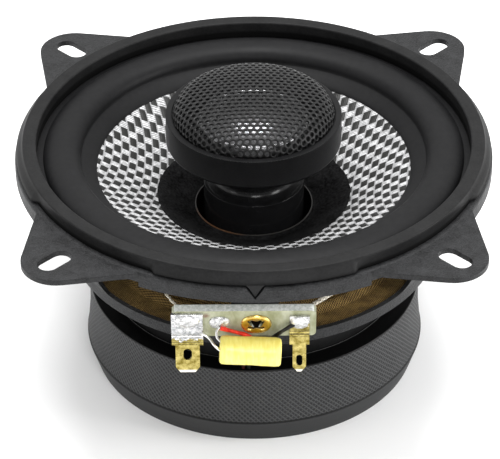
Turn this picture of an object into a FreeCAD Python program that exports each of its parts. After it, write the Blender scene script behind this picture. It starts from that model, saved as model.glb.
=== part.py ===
"""Coaxial car loudspeaker of the 100 mm class: a woven cone driver with a dome tweeter on a post in its middle.

The frame has its origin at the centre of the magnet boot's underside, +Z towards the listener.
Everything is drawn with the terminals towards -Y and each sub-part is then clocked about +Z,
so that the four ear slots lie on the X and Y axes. Lengths are in millimetres.
"""

import FreeCAD, Part
import math
import os

import Sketcher
from FreeCAD import Placement, Rotation, Vector

doc = FreeCAD.newDocument("CoaxialSpeaker")

# ---------------------------------------------------------------------------
# Driving dimensions. Heights are measured up from the underside of the magnet boot.
# ---------------------------------------------------------------------------
DRIVING = {
    # how far the drawing is turned about +Z to bring the ear slots onto the axes
    "clocking": 45,
    # basket, pressed from sheet steel
    "sheet_metal": 1.0,
    "ear_top": 51.2,
    "ear_metal": 1.2,
    "flange_radius": 51.0,
    "rim_crown": 51.4,
    "rim_foot": 47.9,
    "rim_bend": 0.8,
    "seat_height": 50.0,
    "seat_radius": 49.5,
    "seat_bore": 44.55,
    "wall_radius": 45.6,
    "band_radius": 40.0,
    "band_top": 31.2,
    "ledge_height": 29.7,
    "ledge_bore": 33.5,
    "pot_radius": 30.5,
    "pot_bore": 16.0,
    "window_width": 34.8,
    "window_foot": 31.2,
    "window_head": 47.0,
    "window_corner": 4.5,
    # ears with one radial slot each
    "slot_circle_radius": 57.5,
    "slot_width": 4.4,
    "slot_length": 8.0,
    "ear_tip_place": 56.7,
    "ear_tip_radius": 7.5,
    "ear_root_place": 48.6,
    "ear_root_half_width": 15.3,
    "notch_half_width": 1.9,
    "notch_foot": 48.7,
    # rubber gasket round the front
    "gasket_foot": 50.6,
    "gasket_top": 54.39,
    "gasket_bore": 46.31,
    "gasket_radius": 49.35,
    "skirt_radius": 50.7,
    "skirt_shoulder": 49.95,
    "skirt_edge": 0.9,
    "skirt_bite": 0.5,
    "skirt_angle": 50,
    "tooth_slack": 0.15,
    # cone, 28 degrees steep, glued to the former at its neck
    "coil_radius": 12.7,
    "former_wall": 0.2,
    "neck_height": 36.0,
    "cone_rise": 0.531,
    "cone_radius": 37.1,
    "cone_wall": 0.58,
    "felt_radius": 20.8,
    "felt_thickness": 0.3,
    "former_top": 37.4,
    "former_foot": 13.6,
    "winding_top": 24.6,
    "winding_foot": 15.8,
    "winding_build": 0.45,
    # surround: one half roll between an inner and an outer foot
    "surround_wall": 0.55,
    "surround_bond_radius": 33.6,
    "roll_middle": 41.05,
    "roll_foot": 45.0,
    "roll_crest": 52.5,
    "roll_inner_bend": 4.1,
    "roll_outer_bend": 4.97,
    "surround_foot_radius": 49.3,
    # spider
    "spider_wall": 0.4,
    "spider_radius": 38.4,
    "spider_bond_radius": 34.0,
    "spider_roll_pitch": 3.6,
    "spider_roll_height": 1.5,
    "spider_collar": 14.2,
    # magnet system
    "plate_radius": 31.5,
    "plate_bore": 13.55,
    "plate_top": 22.2,
    "magnet_radius": 34.0,
    "magnet_bore": 16.0,
    "magnet_top": 18.2,
    "magnet_foot": 5.2,
    "yoke_radius": 33.0,
    "yoke_foot": 1.0,
    "pole_radius": 12.15,
    "pole_top": 23.4,
    "pole_bore": 4.0,
    "nut_recess_radius": 7.0,
    "nut_recess_top": 4.3,
    "nut_foot": 2.3,
    "nut_radius": 6.0,
    # rubber boot over the magnet
    "boot_radius": 36.0,
    "boot_waist": 36.15,
    "boot_waist_height": 12.0,
    "boot_belt_radius": 37.0,
    "boot_belt_height": 5.3,
    "boot_foot_radius": 35.4,
    "boot_top": 19.0,
    "boot_lip_bore": 31.9,
    "boot_bore": 34.1,
    "boot_mouth": 20.0,
    # wire channel down the inside of the boot and under the yoke
    "channel_place": -2.0,
    "channel_width": 2.5,
    "channel_radius": 35.25,
    "channel_roof": 2.2,
    "channel_end": -5.0,
    # tweeter post
    "post_radius": 10.8,
    "post_lip": 43.5,
    "post_lip_width": 0.8,
    "post_dish_depth": 0.7,
    "post_neck_radius": 6.8,
    "post_fillet": 1.8,
    "post_top": 50.3,
    "spigot_radius": 3.9,
    "spigot_bore": 2.2,
    # tweeter housing, grille and motor
    "housing_radius": 18.7,
    "housing_top": 60.1,
    "housing_skirt": 54.1,
    "housing_wall": 1.2,
    "housing_floor": 52.1,
    "housing_curve": 2.2,
    "housing_sweep": 4.9,
    "housing_socket": 0.8,
    "housing_clear": 0.1,
    "grille_radius": 17.3,
    "grille_foot": 59.9,
    "grille_shoulder_radius": 14.8,
    "grille_shoulder": 63.6,
    "grille_top": 65.3,
    "grille_wall": 0.6,
    "grille_bend": 4.6,
    "crown_flat": 0.3,
    "cup_radius": 12.2,
    "cup_bore": 10.6,
    "cup_foot": 54.1,
    "cup_floor": 55.5,
    "cup_top": 58.2,
    "tweeter_magnet_radius": 8.8,
    "tweeter_plate_radius": 9.6,
    "tweeter_plate_foot": 57.0,
    "tweeter_coil_radius": 9.9,
    "tweeter_coil_wall": 0.35,
    "tweeter_coil_foot": 56.4,
    "dome_base": 58.6,
    "dome_crown": 62.1,
    "dome_wall": 0.25,
    "tweeter_surround_radius": 13.4,
    "faceplate_bore": 12.0,
    "faceplate_radius": 17.4,
    "faceplate_rim": 1.5,
    "faceplate_lip": 0.55,
    "motor_foot_radius": 1.4,
    "motor_foot_circle": 9.7,
    "tweeter_roll_radius": 0.95,
    # terminal board, riveted flat against the front arm
    "board_place": 42.1,
    "board_height": 37.8,
    "board_lean": 17.5,
    "board_width": 29.5,
    "board_depth": 8.7,
    "board_thick": 1.7,
    "board_shift": -2.27,
    "board_corner": 1.3,
    "rivet_place": 0.2,
    "rivet_radius": 1.35,
    "rivet_head_radius": 3.0,
    "rivet_head": 0.6,
    "rivet_wall": 0.35,
    # its two blades; each hole's drop is from the shoulder to the hole's middle
    "tab_metal": 0.5,
    "tab_drop": 2.0,
    "blade_length": 7.0,
    "blade_chamfer": 1.3,
    "positive_place": -13.95,
    "positive_width": 6.5,
    "positive_top": 3.8,
    "positive_blade": 5.0,
    "positive_hole": 1.75,
    "positive_hole_height": 2.9,
    "positive_hole_drop": 2.4,
    "negative_place": 9.1,
    "negative_width": 4.1,
    "negative_top": 2.9,
    "negative_blade": 2.8,
    "negative_hole": 1.25,
    "negative_hole_height": 2.8,
    "negative_hole_drop": 4.05,
    # film capacitor, held by its own two leads
    "capacitor_radius": 3.0,
    "capacitor_length": 12.6,
    "capacitor_corner": 0.7,
    "capacitor_lean": 3.4,
    "capacitor_out": 46.8,
    "capacitor_height": 32.6,
    "capacitor_shift": -1.0,
    "lead_radius": 0.3,
    "wire_radius": 0.45,
    "tinsel_radius": 0.55,
}


class Size:
    """A length held both as a number and as the sheet formula that gives it."""

    def __init__(self, number, formula):
        self.number = float(number)
        self.formula = formula

    def _joined(self, sign, other, number):
        return Size(number, f"({self.formula} {sign} {size_of(other).formula})")

    def __add__(self, other):
        return self._joined("+", other, self.number + size_of(other).number)

    def __sub__(self, other):
        return self._joined("-", other, self.number - size_of(other).number)

    def __mul__(self, other):
        return self._joined("*", other, self.number * size_of(other).number)

    def __truediv__(self, other):
        return self._joined("/", other, self.number / size_of(other).number)

    def __neg__(self):
        return Size(-self.number, f"(0 - {self.formula})")


def size_of(value):
    """Any plain number as a Size."""
    return value if isinstance(value, Size) else Size(value, repr(float(value)))


class Sizes:
    """The driving dimensions as attributes, each backed by its own cell."""

    def __init__(self, numbers):
        self.sheet = doc.addObject("Spreadsheet::Sheet", "Sizes")
        for row, (alias, number) in enumerate(numbers.items(), start=1):
            self.sheet.set(f"A{row}", alias.replace("_", " "))
            self.sheet.set(f"B{row}", str(number))
            self.sheet.setAlias(f"B{row}", alias)
            setattr(self, alias, Size(number, f"Sizes.{alias}"))
        doc.recompute()


D = Sizes(DRIVING)
ZERO = size_of(0)
SUBPARTS = []

# An arc of exactly a quarter or half circle can miss its own chord, so its radius is a hair larger.
ARC_SLACK = 1.0005
# How far outside the solid a cutting sketch starts.
CUT_CLEAR = 1.0


# ---------------------------------------------------------------------------
# Sketching and feature helpers
# ---------------------------------------------------------------------------
def bind(item, target, value):
    """Bind one property or constraint of item to a Size."""
    item.setExpression(target, size_of(value).formula)


def keep(item, label):
    """Register a sub-part and clock it about +Z together with all the others."""
    item.Label = label
    item.Placement = Placement(Vector(0, 0, 0), Rotation(Vector(0, 0, 1), D.clocking.number))
    bind(item, "Placement.Rotation.Angle", D.clocking)
    SUBPARTS.append(item)
    return item


def new_body(label):
    return keep(doc.addObject("PartDesign::Body", label + "_body"), label)


def origin_feature(body, role):
    return next(f for f in body.Origin.OriginFeatures if f.Role == role)


def new_sketch(body, plane, height=None, turn=None):
    """A sketch on one of the body's own planes, lifted by height and turned by turn = (axis, degrees)."""
    sketch = body.newObject("Sketcher::SketchObject", "Sketch")
    sketch.AttachmentSupport = [(origin_feature(body, plane), "")]
    sketch.MapMode = "FlatFace"
    if turn is not None:
        sketch.AttachmentOffset = Placement(Vector(0, 0, 0), Rotation(*turn))
    if height is not None:
        bind(sketch, "AttachmentOffset.Base.z", height)
    return sketch


def arc_middle(start, end, radius):
    """The middle of the arc from start to end; a positive radius bulges to the left of travel."""
    chord = end - start
    half = chord.Length / 2
    rise = abs(radius) - math.sqrt(max(radius * radius - half * half, 0.0))
    left = Vector(-chord.y, chord.x, 0).normalize()
    return (start + end) / 2 + left * math.copysign(rise, radius)


def draw(sketch, outline):
    """Draw a closed outline and pin every corner to the sheet.

    Each corner is (x, y), or (x, y, radius) where an arc of that radius leads on to the next corner.
    A sketch keeps its arcs anticlockwise, so an arc that bulges to the left is drawn from its far end.
    """
    corners = [Vector(size_of(c[0]).number, size_of(c[1]).number, 0) for c in outline]
    ends = []
    for index, corner in enumerate(outline):
        start = corners[index]
        end = corners[(index + 1) % len(corners)]
        if len(corner) == 2:
            edge = sketch.addGeometry(Part.LineSegment(start, end), False)
            ends.append((edge, 1, 2))
            continue
        radius = size_of(corner[2]).number
        middle = arc_middle(start, end, radius)
        if radius < 0:
            edge = sketch.addGeometry(Part.Arc(start, middle, end), False)
            ends.append((edge, 1, 2))
        else:
            edge = sketch.addGeometry(Part.Arc(end, middle, start), False)
            ends.append((edge, 2, 1))
    for index, (edge, first, _) in enumerate(ends):
        last_edge, _, last_end = ends[index - 1]
        sketch.addConstraint(Sketcher.Constraint("Coincident", last_edge, last_end, edge, first))
        for kind, value in zip(("DistanceX", "DistanceY"), outline[index][:2]):
            pin(sketch, Sketcher.Constraint(kind, -1, 1, edge, first, size_of(value).number), value)
        if len(outline[index]) == 3:
            radius = size_of(outline[index][2])
            radius = radius if radius.number > 0 else -radius
            pin(sketch, Sketcher.Constraint("Radius", edge, radius.number), radius)
    return sketch


def pin(sketch, constraint, value):
    number = sketch.addConstraint(constraint)
    bind(sketch, f"Constraints[{number}]", value)


def draw_circle(sketch, x, y, radius):
    x, y, radius = size_of(x), size_of(y), size_of(radius)
    circle = Part.Circle(Vector(x.number, y.number, 0), Vector(0, 0, 1), radius.number)
    edge = sketch.addGeometry(circle, False)
    pin(sketch, Sketcher.Constraint("Radius", edge, radius.number), radius)
    pin(sketch, Sketcher.Constraint("DistanceX", -1, 1, edge, 3, x.number), x)
    pin(sketch, Sketcher.Constraint("DistanceY", -1, 1, edge, 3, y.number), y)
    return sketch


def box_outline(low_x, low_y, high_x, high_y):
    return [(low_x, low_y), (high_x, low_y), (high_x, high_y), (low_x, high_y)]


def slot_outline(x, half_length, half_width):
    """An oblong along x, centred at (x, 0), with round ends."""
    straight = half_length - half_width
    arc = -half_width * ARC_SLACK
    return [
        (x - straight, -half_width),
        (x + straight, -half_width, arc),
        (x + straight, half_width),
        (x - straight, half_width, arc),
    ]


def feature(body, kind, sketch, **values):
    """A sketch-based feature, with its numbers bound and its other properties set."""
    made = body.newObject("PartDesign::" + kind, kind)
    made.Profile = sketch
    if kind in ("Revolution", "Groove"):
        made.ReferenceAxis = (sketch, ["V_Axis"])
    for name, value in values.items():
        if isinstance(value, (Size, float, int)) and not isinstance(value, bool):
            bind(made, name, value)
        else:
            setattr(made, name, value)
    sketch.Visibility = False
    doc.recompute()
    return made


def around_axis(body, features, count, angle=360):
    """Repeat features evenly about the body's Z axis."""
    pattern = body.newObject("PartDesign::PolarPattern", "PolarPattern")
    pattern.Originals = features
    pattern.Axis = (origin_feature(body, "Z_Axis"), [""])
    pattern.Angle = angle
    pattern.Occurrences = count
    body.Tip = pattern
    doc.recompute()
    return pattern


def cut(body, sketch, **values):
    """A pocket that is known to have removed metal."""
    before = body.Shape.Volume
    made = feature(body, "Pocket", sketch, **values)
    if body.Shape.Volume > before - 1e-3:
        raise ValueError(f"a pocket in {body.Label} removes nothing")
    return made


def turned(label, outline):
    """A body of revolution about the speaker's axis."""
    body = new_body(label)
    feature(body, "Revolution", draw(new_sketch(body, "XZ_Plane"), outline), Angle=360)
    return body


def ring_outline(bore, radius, foot, top):
    return box_outline(bore, foot, radius, top)


def cone_height(radius, base=None):
    """Height of the cone's front face at a radius."""
    base = D.neck_height if base is None else base
    return base + (size_of(radius) - D.coil_radius) * D.cone_rise


# ---------------------------------------------------------------------------
# Basket and gasket
# ---------------------------------------------------------------------------
def basket():
    """Pressed frame: flange with a turned-down rim, six arms, spider ledge and pot."""
    body = new_body("basket")
    metal = D.sheet_metal
    outline = [
        (D.flange_radius, D.rim_foot),
        (D.flange_radius, D.rim_crown - D.rim_bend, -D.rim_bend * ARC_SLACK),
        (D.flange_radius - D.rim_bend, D.rim_crown),
        (D.seat_bore, D.rim_crown),
        (D.seat_bore, D.seat_height),
        (D.band_radius - metal, D.band_top),
        (D.band_radius - metal, D.ledge_height),
        (D.ledge_bore, D.ledge_height),
        (D.pot_radius - metal, D.plate_top + metal),
        (D.pot_bore, D.plate_top + metal),
        (D.pot_bore, D.plate_top),
        (D.pot_radius, D.plate_top),
        (D.ledge_bore + metal, D.ledge_height - metal),
        (D.band_radius, D.ledge_height - metal),
        (D.band_radius, D.band_top),
        (D.wall_radius, D.seat_height - metal),
        (D.flange_radius - metal, D.seat_height - metal),
        (D.flange_radius - metal, D.rim_foot),
    ]
    feature(body, "Revolution", draw(new_sketch(body, "XZ_Plane"), outline), Angle=360)
    basket_ears(body)
    basket_seat(body)
    basket_windows(body)
    basket_holes(body)


def basket_ears(body):
    """Four plate ears on the diagonals, with straight flanks tangent to a round tip."""
    diagonal = (Vector(0, 0, 1), 45)
    sketch = new_sketch(body, "XY_Plane", D.ear_top - D.ear_metal, diagonal)
    root = Vector(D.ear_root_place.number, D.ear_root_half_width.number, 0)
    tip = D.ear_tip_place.number
    radius = D.ear_tip_radius.number
    reach = math.hypot(tip - root.x, root.y)
    bearing = math.atan2(root.y, root.x - tip) - math.acos(radius / reach)
    touch = Vector(tip + radius * math.cos(bearing), radius * math.sin(bearing), 0)
    mirrored_touch = Vector(touch.x, -touch.y, 0)
    mirrored_root = Vector(root.x, -root.y, 0)
    upper = sketch.addGeometry(Part.LineSegment(root, touch), False)
    lower = sketch.addGeometry(Part.LineSegment(mirrored_touch, mirrored_root), False)
    back = sketch.addGeometry(Part.LineSegment(mirrored_root, root), False)
    circle = Part.Circle(Vector(tip, 0, 0), Vector(0, 0, 1), radius)
    arc = sketch.addGeometry(Part.ArcOfCircle(circle, -bearing, bearing), False)
    sketch.addConstraint(Sketcher.Constraint("Tangent", upper, 2, arc, 2))
    sketch.addConstraint(Sketcher.Constraint("Tangent", lower, 1, arc, 1))
    sketch.addConstraint(Sketcher.Constraint("Coincident", lower, 2, back, 1))
    sketch.addConstraint(Sketcher.Constraint("Coincident", back, 2, upper, 1))
    sketch.addConstraint(Sketcher.Constraint("PointOnObject", arc, 3, -1))
    pin(sketch, Sketcher.Constraint("Radius", arc, radius), D.ear_tip_radius)
    pin(sketch, Sketcher.Constraint("DistanceX", -1, 1, arc, 3, tip), D.ear_tip_place)
    for line, end, side in ((upper, 1, D.ear_root_half_width), (lower, 2, -D.ear_root_half_width)):
        pin(sketch, Sketcher.Constraint("DistanceX", -1, 1, line, end, root.x), D.ear_root_place)
        pin(sketch, Sketcher.Constraint("DistanceY", -1, 1, line, end, side.number), side)
    ear = feature(body, "Pad", sketch, Length=D.ear_metal)
    around_axis(body, [ear], 4)
    slot = new_sketch(body, "XY_Plane", D.rim_crown, diagonal)
    draw(slot, slot_outline(D.slot_circle_radius, D.slot_length / 2, D.slot_width / 2))
    slot_cut = cut(body, slot, Length=D.ear_metal * 2)
    around_axis(body, [slot_cut], 4)
    relief = new_sketch(body, "XY_Plane", D.seat_height - D.sheet_metal, diagonal)
    half_width = D.ear_root_half_width
    draw(relief, box_outline(D.wall_radius, -half_width, D.flange_radius + CUT_CLEAR, half_width))
    relief_cut = cut(body, relief, Length=D.seat_height - D.rim_foot)
    around_axis(body, [relief_cut], 4)


def basket_seat(body):
    """The recess that takes the surround's foot and the gasket, and the notch that keys the gasket."""
    seat = draw_circle(new_sketch(body, "XY_Plane", D.rim_crown), 0, 0, D.seat_radius)
    cut(body, seat, Length=D.rim_crown - D.seat_height)
    notch = new_sketch(body, "XZ_Plane", D.flange_radius + CUT_CLEAR)
    draw(notch, [(-D.notch_half_width, D.rim_crown), (ZERO, D.notch_foot), (D.notch_half_width, D.rim_crown)])
    past_seat = 0.4
    cut(body, notch, Length=D.flange_radius + CUT_CLEAR + past_seat - D.seat_radius)


def basket_windows(body):
    """Six windows between the arms; each pass cuts an opposite pair."""
    sketch = new_sketch(body, "YZ_Plane")
    half = D.window_width / 2
    corner = D.window_corner
    arc = -corner * ARC_SLACK
    outline = [
        (-half + corner, D.window_foot),
        (half - corner, D.window_foot, arc),
        (half, D.window_foot + corner),
        (half, D.window_head - corner, arc),
        (half - corner, D.window_head),
        (corner - half, D.window_head, arc),
        (-half, D.window_head - corner),
        (-half, D.window_foot + corner, arc),
    ]
    window = cut(body, draw(sketch, outline), Type="ThroughAll", Midplane=True)
    around_axis(body, [window], 3, 120)


RIVET_CIRCLE = 23.0
RIVET_SHANK = 1.5
RIVET_HEAD = 2.6
RIVET_REACH = 3.0


def basket_holes(body):
    """Rivet holes: one through the front arm for the board and four in the foot of the pot."""
    arm = new_sketch(body, "XZ_Plane", D.board_place, (Vector(1, 0, 0), D.board_lean.number))
    bind(arm, "AttachmentOffset.Base.y", D.board_height)
    bind(arm, "AttachmentOffset.Rotation.Angle", D.board_lean)
    draw_circle(arm, D.rivet_place, ZERO, D.rivet_radius)
    cut(body, arm, Length=D.rivet_head_radius * 2.5, Midplane=True)
    foot = new_sketch(body, "XY_Plane", D.plate_top + D.sheet_metal * 2)
    draw_circle(foot, size_of(RIVET_CIRCLE), 0, RIVET_SHANK)
    foot_hole = cut(body, foot, Length=D.sheet_metal * 3)
    around_axis(body, [foot_hole], 4)


def gasket():
    """Moulded ring with a sloping skirt on each side and a tooth that keys into the rim's notch."""
    body = turned("gasket", ring_outline(D.gasket_bore, D.gasket_radius, D.gasket_foot, D.gasket_top))
    skirt = new_sketch(body, "XZ_Plane")
    inside = D.gasket_radius - D.skirt_bite
    draw(skirt, [
        (inside, D.rim_crown),
        (D.skirt_radius, D.rim_crown),
        (D.skirt_shoulder, D.gasket_top - D.skirt_edge),
        (D.gasket_radius, D.gasket_top),
        (inside, D.gasket_top),
    ])
    side = feature(body, "Revolution", skirt, Angle=D.skirt_angle, Midplane=True)
    around_axis(body, [side], 4)
    tooth = new_sketch(body, "XZ_Plane", D.skirt_radius)
    slack = D.tooth_slack
    draw(tooth, [
        (-(D.notch_half_width - slack), D.rim_crown),
        (ZERO, D.notch_foot + slack * 3),
        (D.notch_half_width - slack, D.rim_crown),
    ])
    feature(body, "Pad", tooth, Length=D.skirt_radius - D.seat_radius, Reversed=True)


# ---------------------------------------------------------------------------
# Moving cone and its suspension
# ---------------------------------------------------------------------------
def cone():
    """Woven cone with a short collar glued round the former."""
    turned("cone", [
        (D.coil_radius, cone_height(D.coil_radius)),
        (D.coil_radius, cone_height(D.coil_radius) - D.cone_wall * 2),
        (D.coil_radius + D.cone_wall, cone_height(D.coil_radius) - D.cone_wall * 2),
        (D.coil_radius + D.cone_wall, cone_height(D.coil_radius + D.cone_wall) - D.cone_wall),
        (D.cone_radius, cone_height(D.cone_radius) - D.cone_wall),
        (D.cone_radius, cone_height(D.cone_radius)),
    ])


def felt_ring():
    """Black damping ring over the inner part of the cone."""
    thick = D.felt_thickness
    turned("cone_damping_ring", [
        (D.coil_radius, cone_height(D.coil_radius)),
        (D.felt_radius, cone_height(D.felt_radius)),
        (D.felt_radius - thick / 2, cone_height(D.felt_radius - thick / 2) + thick),
        (D.coil_radius, cone_height(D.coil_radius) + thick),
    ])


def voice_coil():
    """Film former and the copper winding on it."""
    inner = D.coil_radius - D.former_wall
    turned("voice_coil_former", ring_outline(inner, D.coil_radius, D.former_foot, D.former_top))
    outer = D.coil_radius + D.winding_build
    turned("voice_coil_winding", ring_outline(D.coil_radius, outer, D.winding_foot, D.winding_top))


def surround():
    """Rubber half roll, bonded over the cone's edge and down to the basket's seat."""
    wall = D.surround_wall
    bond, edge = D.surround_bond_radius, D.cone_radius
    inner_foot = cone_height(edge) + wall
    outer_foot = D.seat_height + wall
    inner_arc, outer_arc = D.roll_inner_bend, D.roll_outer_bend
    turned("surround", [
        (bond, cone_height(bond)),
        (bond, cone_height(bond) + wall),
        (edge, inner_foot, inner_arc),
        (D.roll_middle, D.roll_crest, outer_arc),
        (D.roll_foot, outer_foot),
        (D.surround_foot_radius, outer_foot),
        (D.surround_foot_radius, D.seat_height),
        (D.roll_foot - wall, D.seat_height, wall - outer_arc),
        (D.roll_middle, D.roll_crest - wall, wall - inner_arc),
        (edge + wall * 1.4, cone_height(edge) - D.cone_wall / 2),
        (edge, cone_height(edge)),
    ])


SPIDER_ROLLS = 5


def spider():
    """Resin-dipped cloth disc, corrugated, from the ledge to the former."""
    wall = D.spider_wall
    low = D.ledge_height
    high = D.ledge_height + D.spider_roll_height
    edge = [(D.spider_radius, low), (D.spider_bond_radius, low)]
    for roll in range(SPIDER_ROLLS):
        crest = D.spider_bond_radius - D.spider_roll_pitch * (roll + 0.5)
        valley = D.spider_bond_radius - D.spider_roll_pitch * (roll + 1)
        edge.append((crest, high))
        edge.append((valley, low))
    edge.append((D.spider_collar, low))
    edge.append((D.coil_radius, high))
    upper = [(x, y + wall) for x, y in reversed(edge)]
    turned("spider", edge + upper)


# ---------------------------------------------------------------------------
# Magnet system and boot
# ---------------------------------------------------------------------------
def magnet_system():
    """Front plate, ferrite ring and the yoke with its pole."""
    plate = turned("top_plate", ring_outline(D.plate_bore, D.plate_radius, D.magnet_top, D.plate_top))
    drill = new_sketch(plate, "XY_Plane", D.plate_top + CUT_CLEAR)
    draw_circle(drill, size_of(RIVET_CIRCLE), 0, RIVET_SHANK)
    around_axis(plate, [cut(plate, drill, Length=RIVET_REACH + CUT_CLEAR)], 4)
    turned("magnet", ring_outline(D.magnet_bore, D.magnet_radius, D.magnet_foot, D.magnet_top))
    yoke = turned("yoke", [
        (D.nut_recess_radius, D.yoke_foot),
        (D.yoke_radius, D.yoke_foot),
        (D.yoke_radius, D.magnet_foot),
        (D.pole_radius, D.magnet_foot),
        (D.pole_radius, D.pole_top),
        (D.pole_bore, D.pole_top),
        (D.pole_bore, D.nut_recess_top),
        (D.nut_recess_radius, D.nut_recess_top),
    ])
    groove = new_sketch(yoke, "XY_Plane", D.yoke_foot)
    half = D.channel_width / 2
    left, right = D.channel_place - half, D.channel_place + half
    draw(groove, box_outline(left, -D.yoke_radius - CUT_CLEAR, right, D.channel_end))
    cut(yoke, groove, Length=D.channel_roof - D.yoke_foot, Reversed=True)


def magnet_boot():
    """Rubber cover with a belt line, a lip over the magnet and an open underside."""
    body = turned("magnet_boot", [
        (D.boot_mouth, ZERO),
        (D.boot_foot_radius, ZERO),
        (D.boot_belt_radius, D.boot_belt_height),
        (D.boot_waist, D.boot_waist_height),
        (D.boot_radius, D.boot_top),
        (D.boot_lip_bore, D.boot_top),
        (D.boot_lip_bore, D.magnet_top),
        (D.boot_bore, D.magnet_top),
        (D.boot_bore, D.yoke_foot),
        (D.boot_mouth, D.yoke_foot),
    ])
    channel = new_sketch(body, "XY_Plane", D.boot_top + CUT_CLEAR)
    half = D.channel_width / 2
    left, right = D.channel_place - half, D.channel_place + half
    draw(channel, box_outline(left, -D.channel_radius, right, -D.boot_lip_bore + CUT_CLEAR))
    cut(body, channel, Length=D.boot_top + CUT_CLEAR - D.yoke_foot)


def basket_rivets():
    """Four rivets that clamp the basket's foot to the front plate."""
    rivets = []
    for quarter in range(4):
        shank = doc.addObject("Part::Cylinder", "RivetShank")
        head = doc.addObject("Part::Cylinder", "RivetHead")
        turn = Rotation(Vector(0, 0, 1), 90 * quarter)
        place = turn.multVec(Vector(RIVET_CIRCLE, 0, 0))
        bind(shank, "Radius", RIVET_SHANK)
        bind(shank, "Height", D.sheet_metal + RIVET_REACH)
        shank.Placement = Placement(place, Rotation())
        bind(shank, "Placement.Base.z", D.plate_top - RIVET_REACH)
        bind(head, "Radius", RIVET_HEAD)
        bind(head, "Height", D.sheet_metal * 0.8)
        head.Placement = Placement(place, Rotation())
        bind(head, "Placement.Base.z", D.plate_top + D.sheet_metal)
        fuse = doc.addObject("Part::Fuse", "Rivet")
        fuse.Base = shank
        fuse.Tool = head
        rivets.append(fuse)
    group = doc.addObject("Part::Compound", "basket_rivets_group")
    group.Links = rivets
    keep(group, "basket_rivets")


# ---------------------------------------------------------------------------
# Tweeter on its post
# ---------------------------------------------------------------------------
def tweeter_post():
    """Plastic post with a hollow spigot down through the pole, and the nut that holds it."""
    lip = D.post_lip
    dish = lip - D.post_dish_depth
    neck = D.post_neck_radius
    turned("tweeter_post", [
        (D.spigot_bore, D.nut_foot),
        (D.spigot_radius, D.nut_foot),
        (D.spigot_radius, D.pole_top),
        (D.post_radius, D.pole_top),
        (D.post_radius, lip),
        (D.post_radius - D.post_lip_width, lip),
        (D.post_radius - D.post_lip_width, dish),
        (neck + D.post_fillet, dish, D.post_fillet * ARC_SLACK),
        (neck, dish + D.post_fillet),
        (neck, D.post_top),
        (D.spigot_bore, D.post_top),
    ])
    nut = new_body("post_nut")
    hexagon = new_sketch(nut, "XY_Plane", D.nut_foot)
    corners = []
    for corner in range(6):
        angle = math.radians(60 * corner)
        corners.append((D.nut_radius * math.cos(angle), D.nut_radius * math.sin(angle)))
    draw(hexagon, corners)
    feature(nut, "Pad", hexagon, Length=D.nut_recess_top - D.nut_foot)
    thread = draw_circle(new_sketch(nut, "XY_Plane", D.nut_recess_top + CUT_CLEAR), 0, 0, D.spigot_radius)
    cut(nut, thread, Length=D.nut_recess_top - D.nut_foot + CUT_CLEAR * 2)


def tweeter_housing():
    """Shallow plastic cup; its underside sweeps in to the post."""
    wall = D.housing_wall
    turned("tweeter_housing", [
        (D.spigot_bore, D.post_top),
        (D.post_neck_radius + D.housing_socket, D.post_top),
        (D.housing_radius - D.housing_sweep, D.post_top + D.housing_socket),
        (D.housing_radius - D.housing_curve, D.housing_skirt - D.housing_curve * 0.75, -D.housing_curve * 1.1),
        (D.housing_radius, D.housing_skirt),
        (D.housing_radius, D.housing_top),
        (D.grille_radius + D.housing_clear, D.housing_top),
        (D.grille_radius + D.housing_clear, D.housing_skirt),
        (D.housing_radius - wall * 3, D.housing_floor),
        (D.spigot_bore, D.housing_floor),
    ])


def cap_radius(half_width, rise):
    """Radius of the sphere that rises this much over a half width."""
    return (half_width * half_width + rise * rise) / (rise * 2)


def tweeter_grille():
    """Domed cover with a steep shoulder and a flatter crown."""
    wall = D.grille_wall
    shoulder = D.grille_shoulder_radius
    inner_shoulder = shoulder - wall / 2
    flat = D.crown_flat
    rise = D.grille_top - D.grille_shoulder
    turned("tweeter_grille", [
        (D.grille_radius - wall, D.grille_foot),
        (D.grille_radius, D.grille_foot, -D.grille_bend),
        (shoulder, D.grille_shoulder, -cap_radius(shoulder - flat, rise)),
        (flat, D.grille_top),
        (ZERO, D.grille_top),
        (ZERO, D.grille_top - wall),
        (flat, D.grille_top - wall, cap_radius(inner_shoulder - flat, rise)),
        (inner_shoulder, D.grille_shoulder - wall, D.grille_bend - wall),
    ])


def tweeter_motor():
    """Cup, magnet disc, pole plate, and the ring that clamps the diaphragm."""
    turned("tweeter_yoke_cup", [
        (ZERO, D.cup_foot),
        (D.cup_radius, D.cup_foot),
        (D.cup_radius, D.cup_top),
        (D.cup_bore, D.cup_top),
        (D.cup_bore, D.cup_floor),
        (ZERO, D.cup_floor),
    ])
    disc = ring_outline(ZERO, D.tweeter_magnet_radius, D.cup_floor, D.tweeter_plate_foot)
    turned("tweeter_magnet", disc)
    plate = ring_outline(ZERO, D.tweeter_plate_radius, D.tweeter_plate_foot, D.cup_top)
    turned("tweeter_pole_plate", plate)
    clamp = D.cup_top + D.dome_wall
    turned("tweeter_faceplate", [
        (D.faceplate_bore, clamp),
        (D.faceplate_radius, clamp),
        (D.faceplate_radius, D.grille_foot),
        (D.faceplate_radius - D.faceplate_rim, D.grille_foot),
        (D.faceplate_bore + D.faceplate_lip, clamp + D.faceplate_lip),
    ])


def tweeter_spacers():
    """Three plastic feet that hold the tweeter's motor above the wires in the housing's floor."""
    body = new_body("tweeter_motor_feet")
    sketch = new_sketch(body, "XY_Plane", D.housing_floor)
    draw_circle(sketch, ZERO, D.motor_foot_circle, D.motor_foot_radius)
    foot = feature(body, "Pad", sketch, Length=D.cup_foot - D.housing_floor)
    return body, foot


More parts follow.
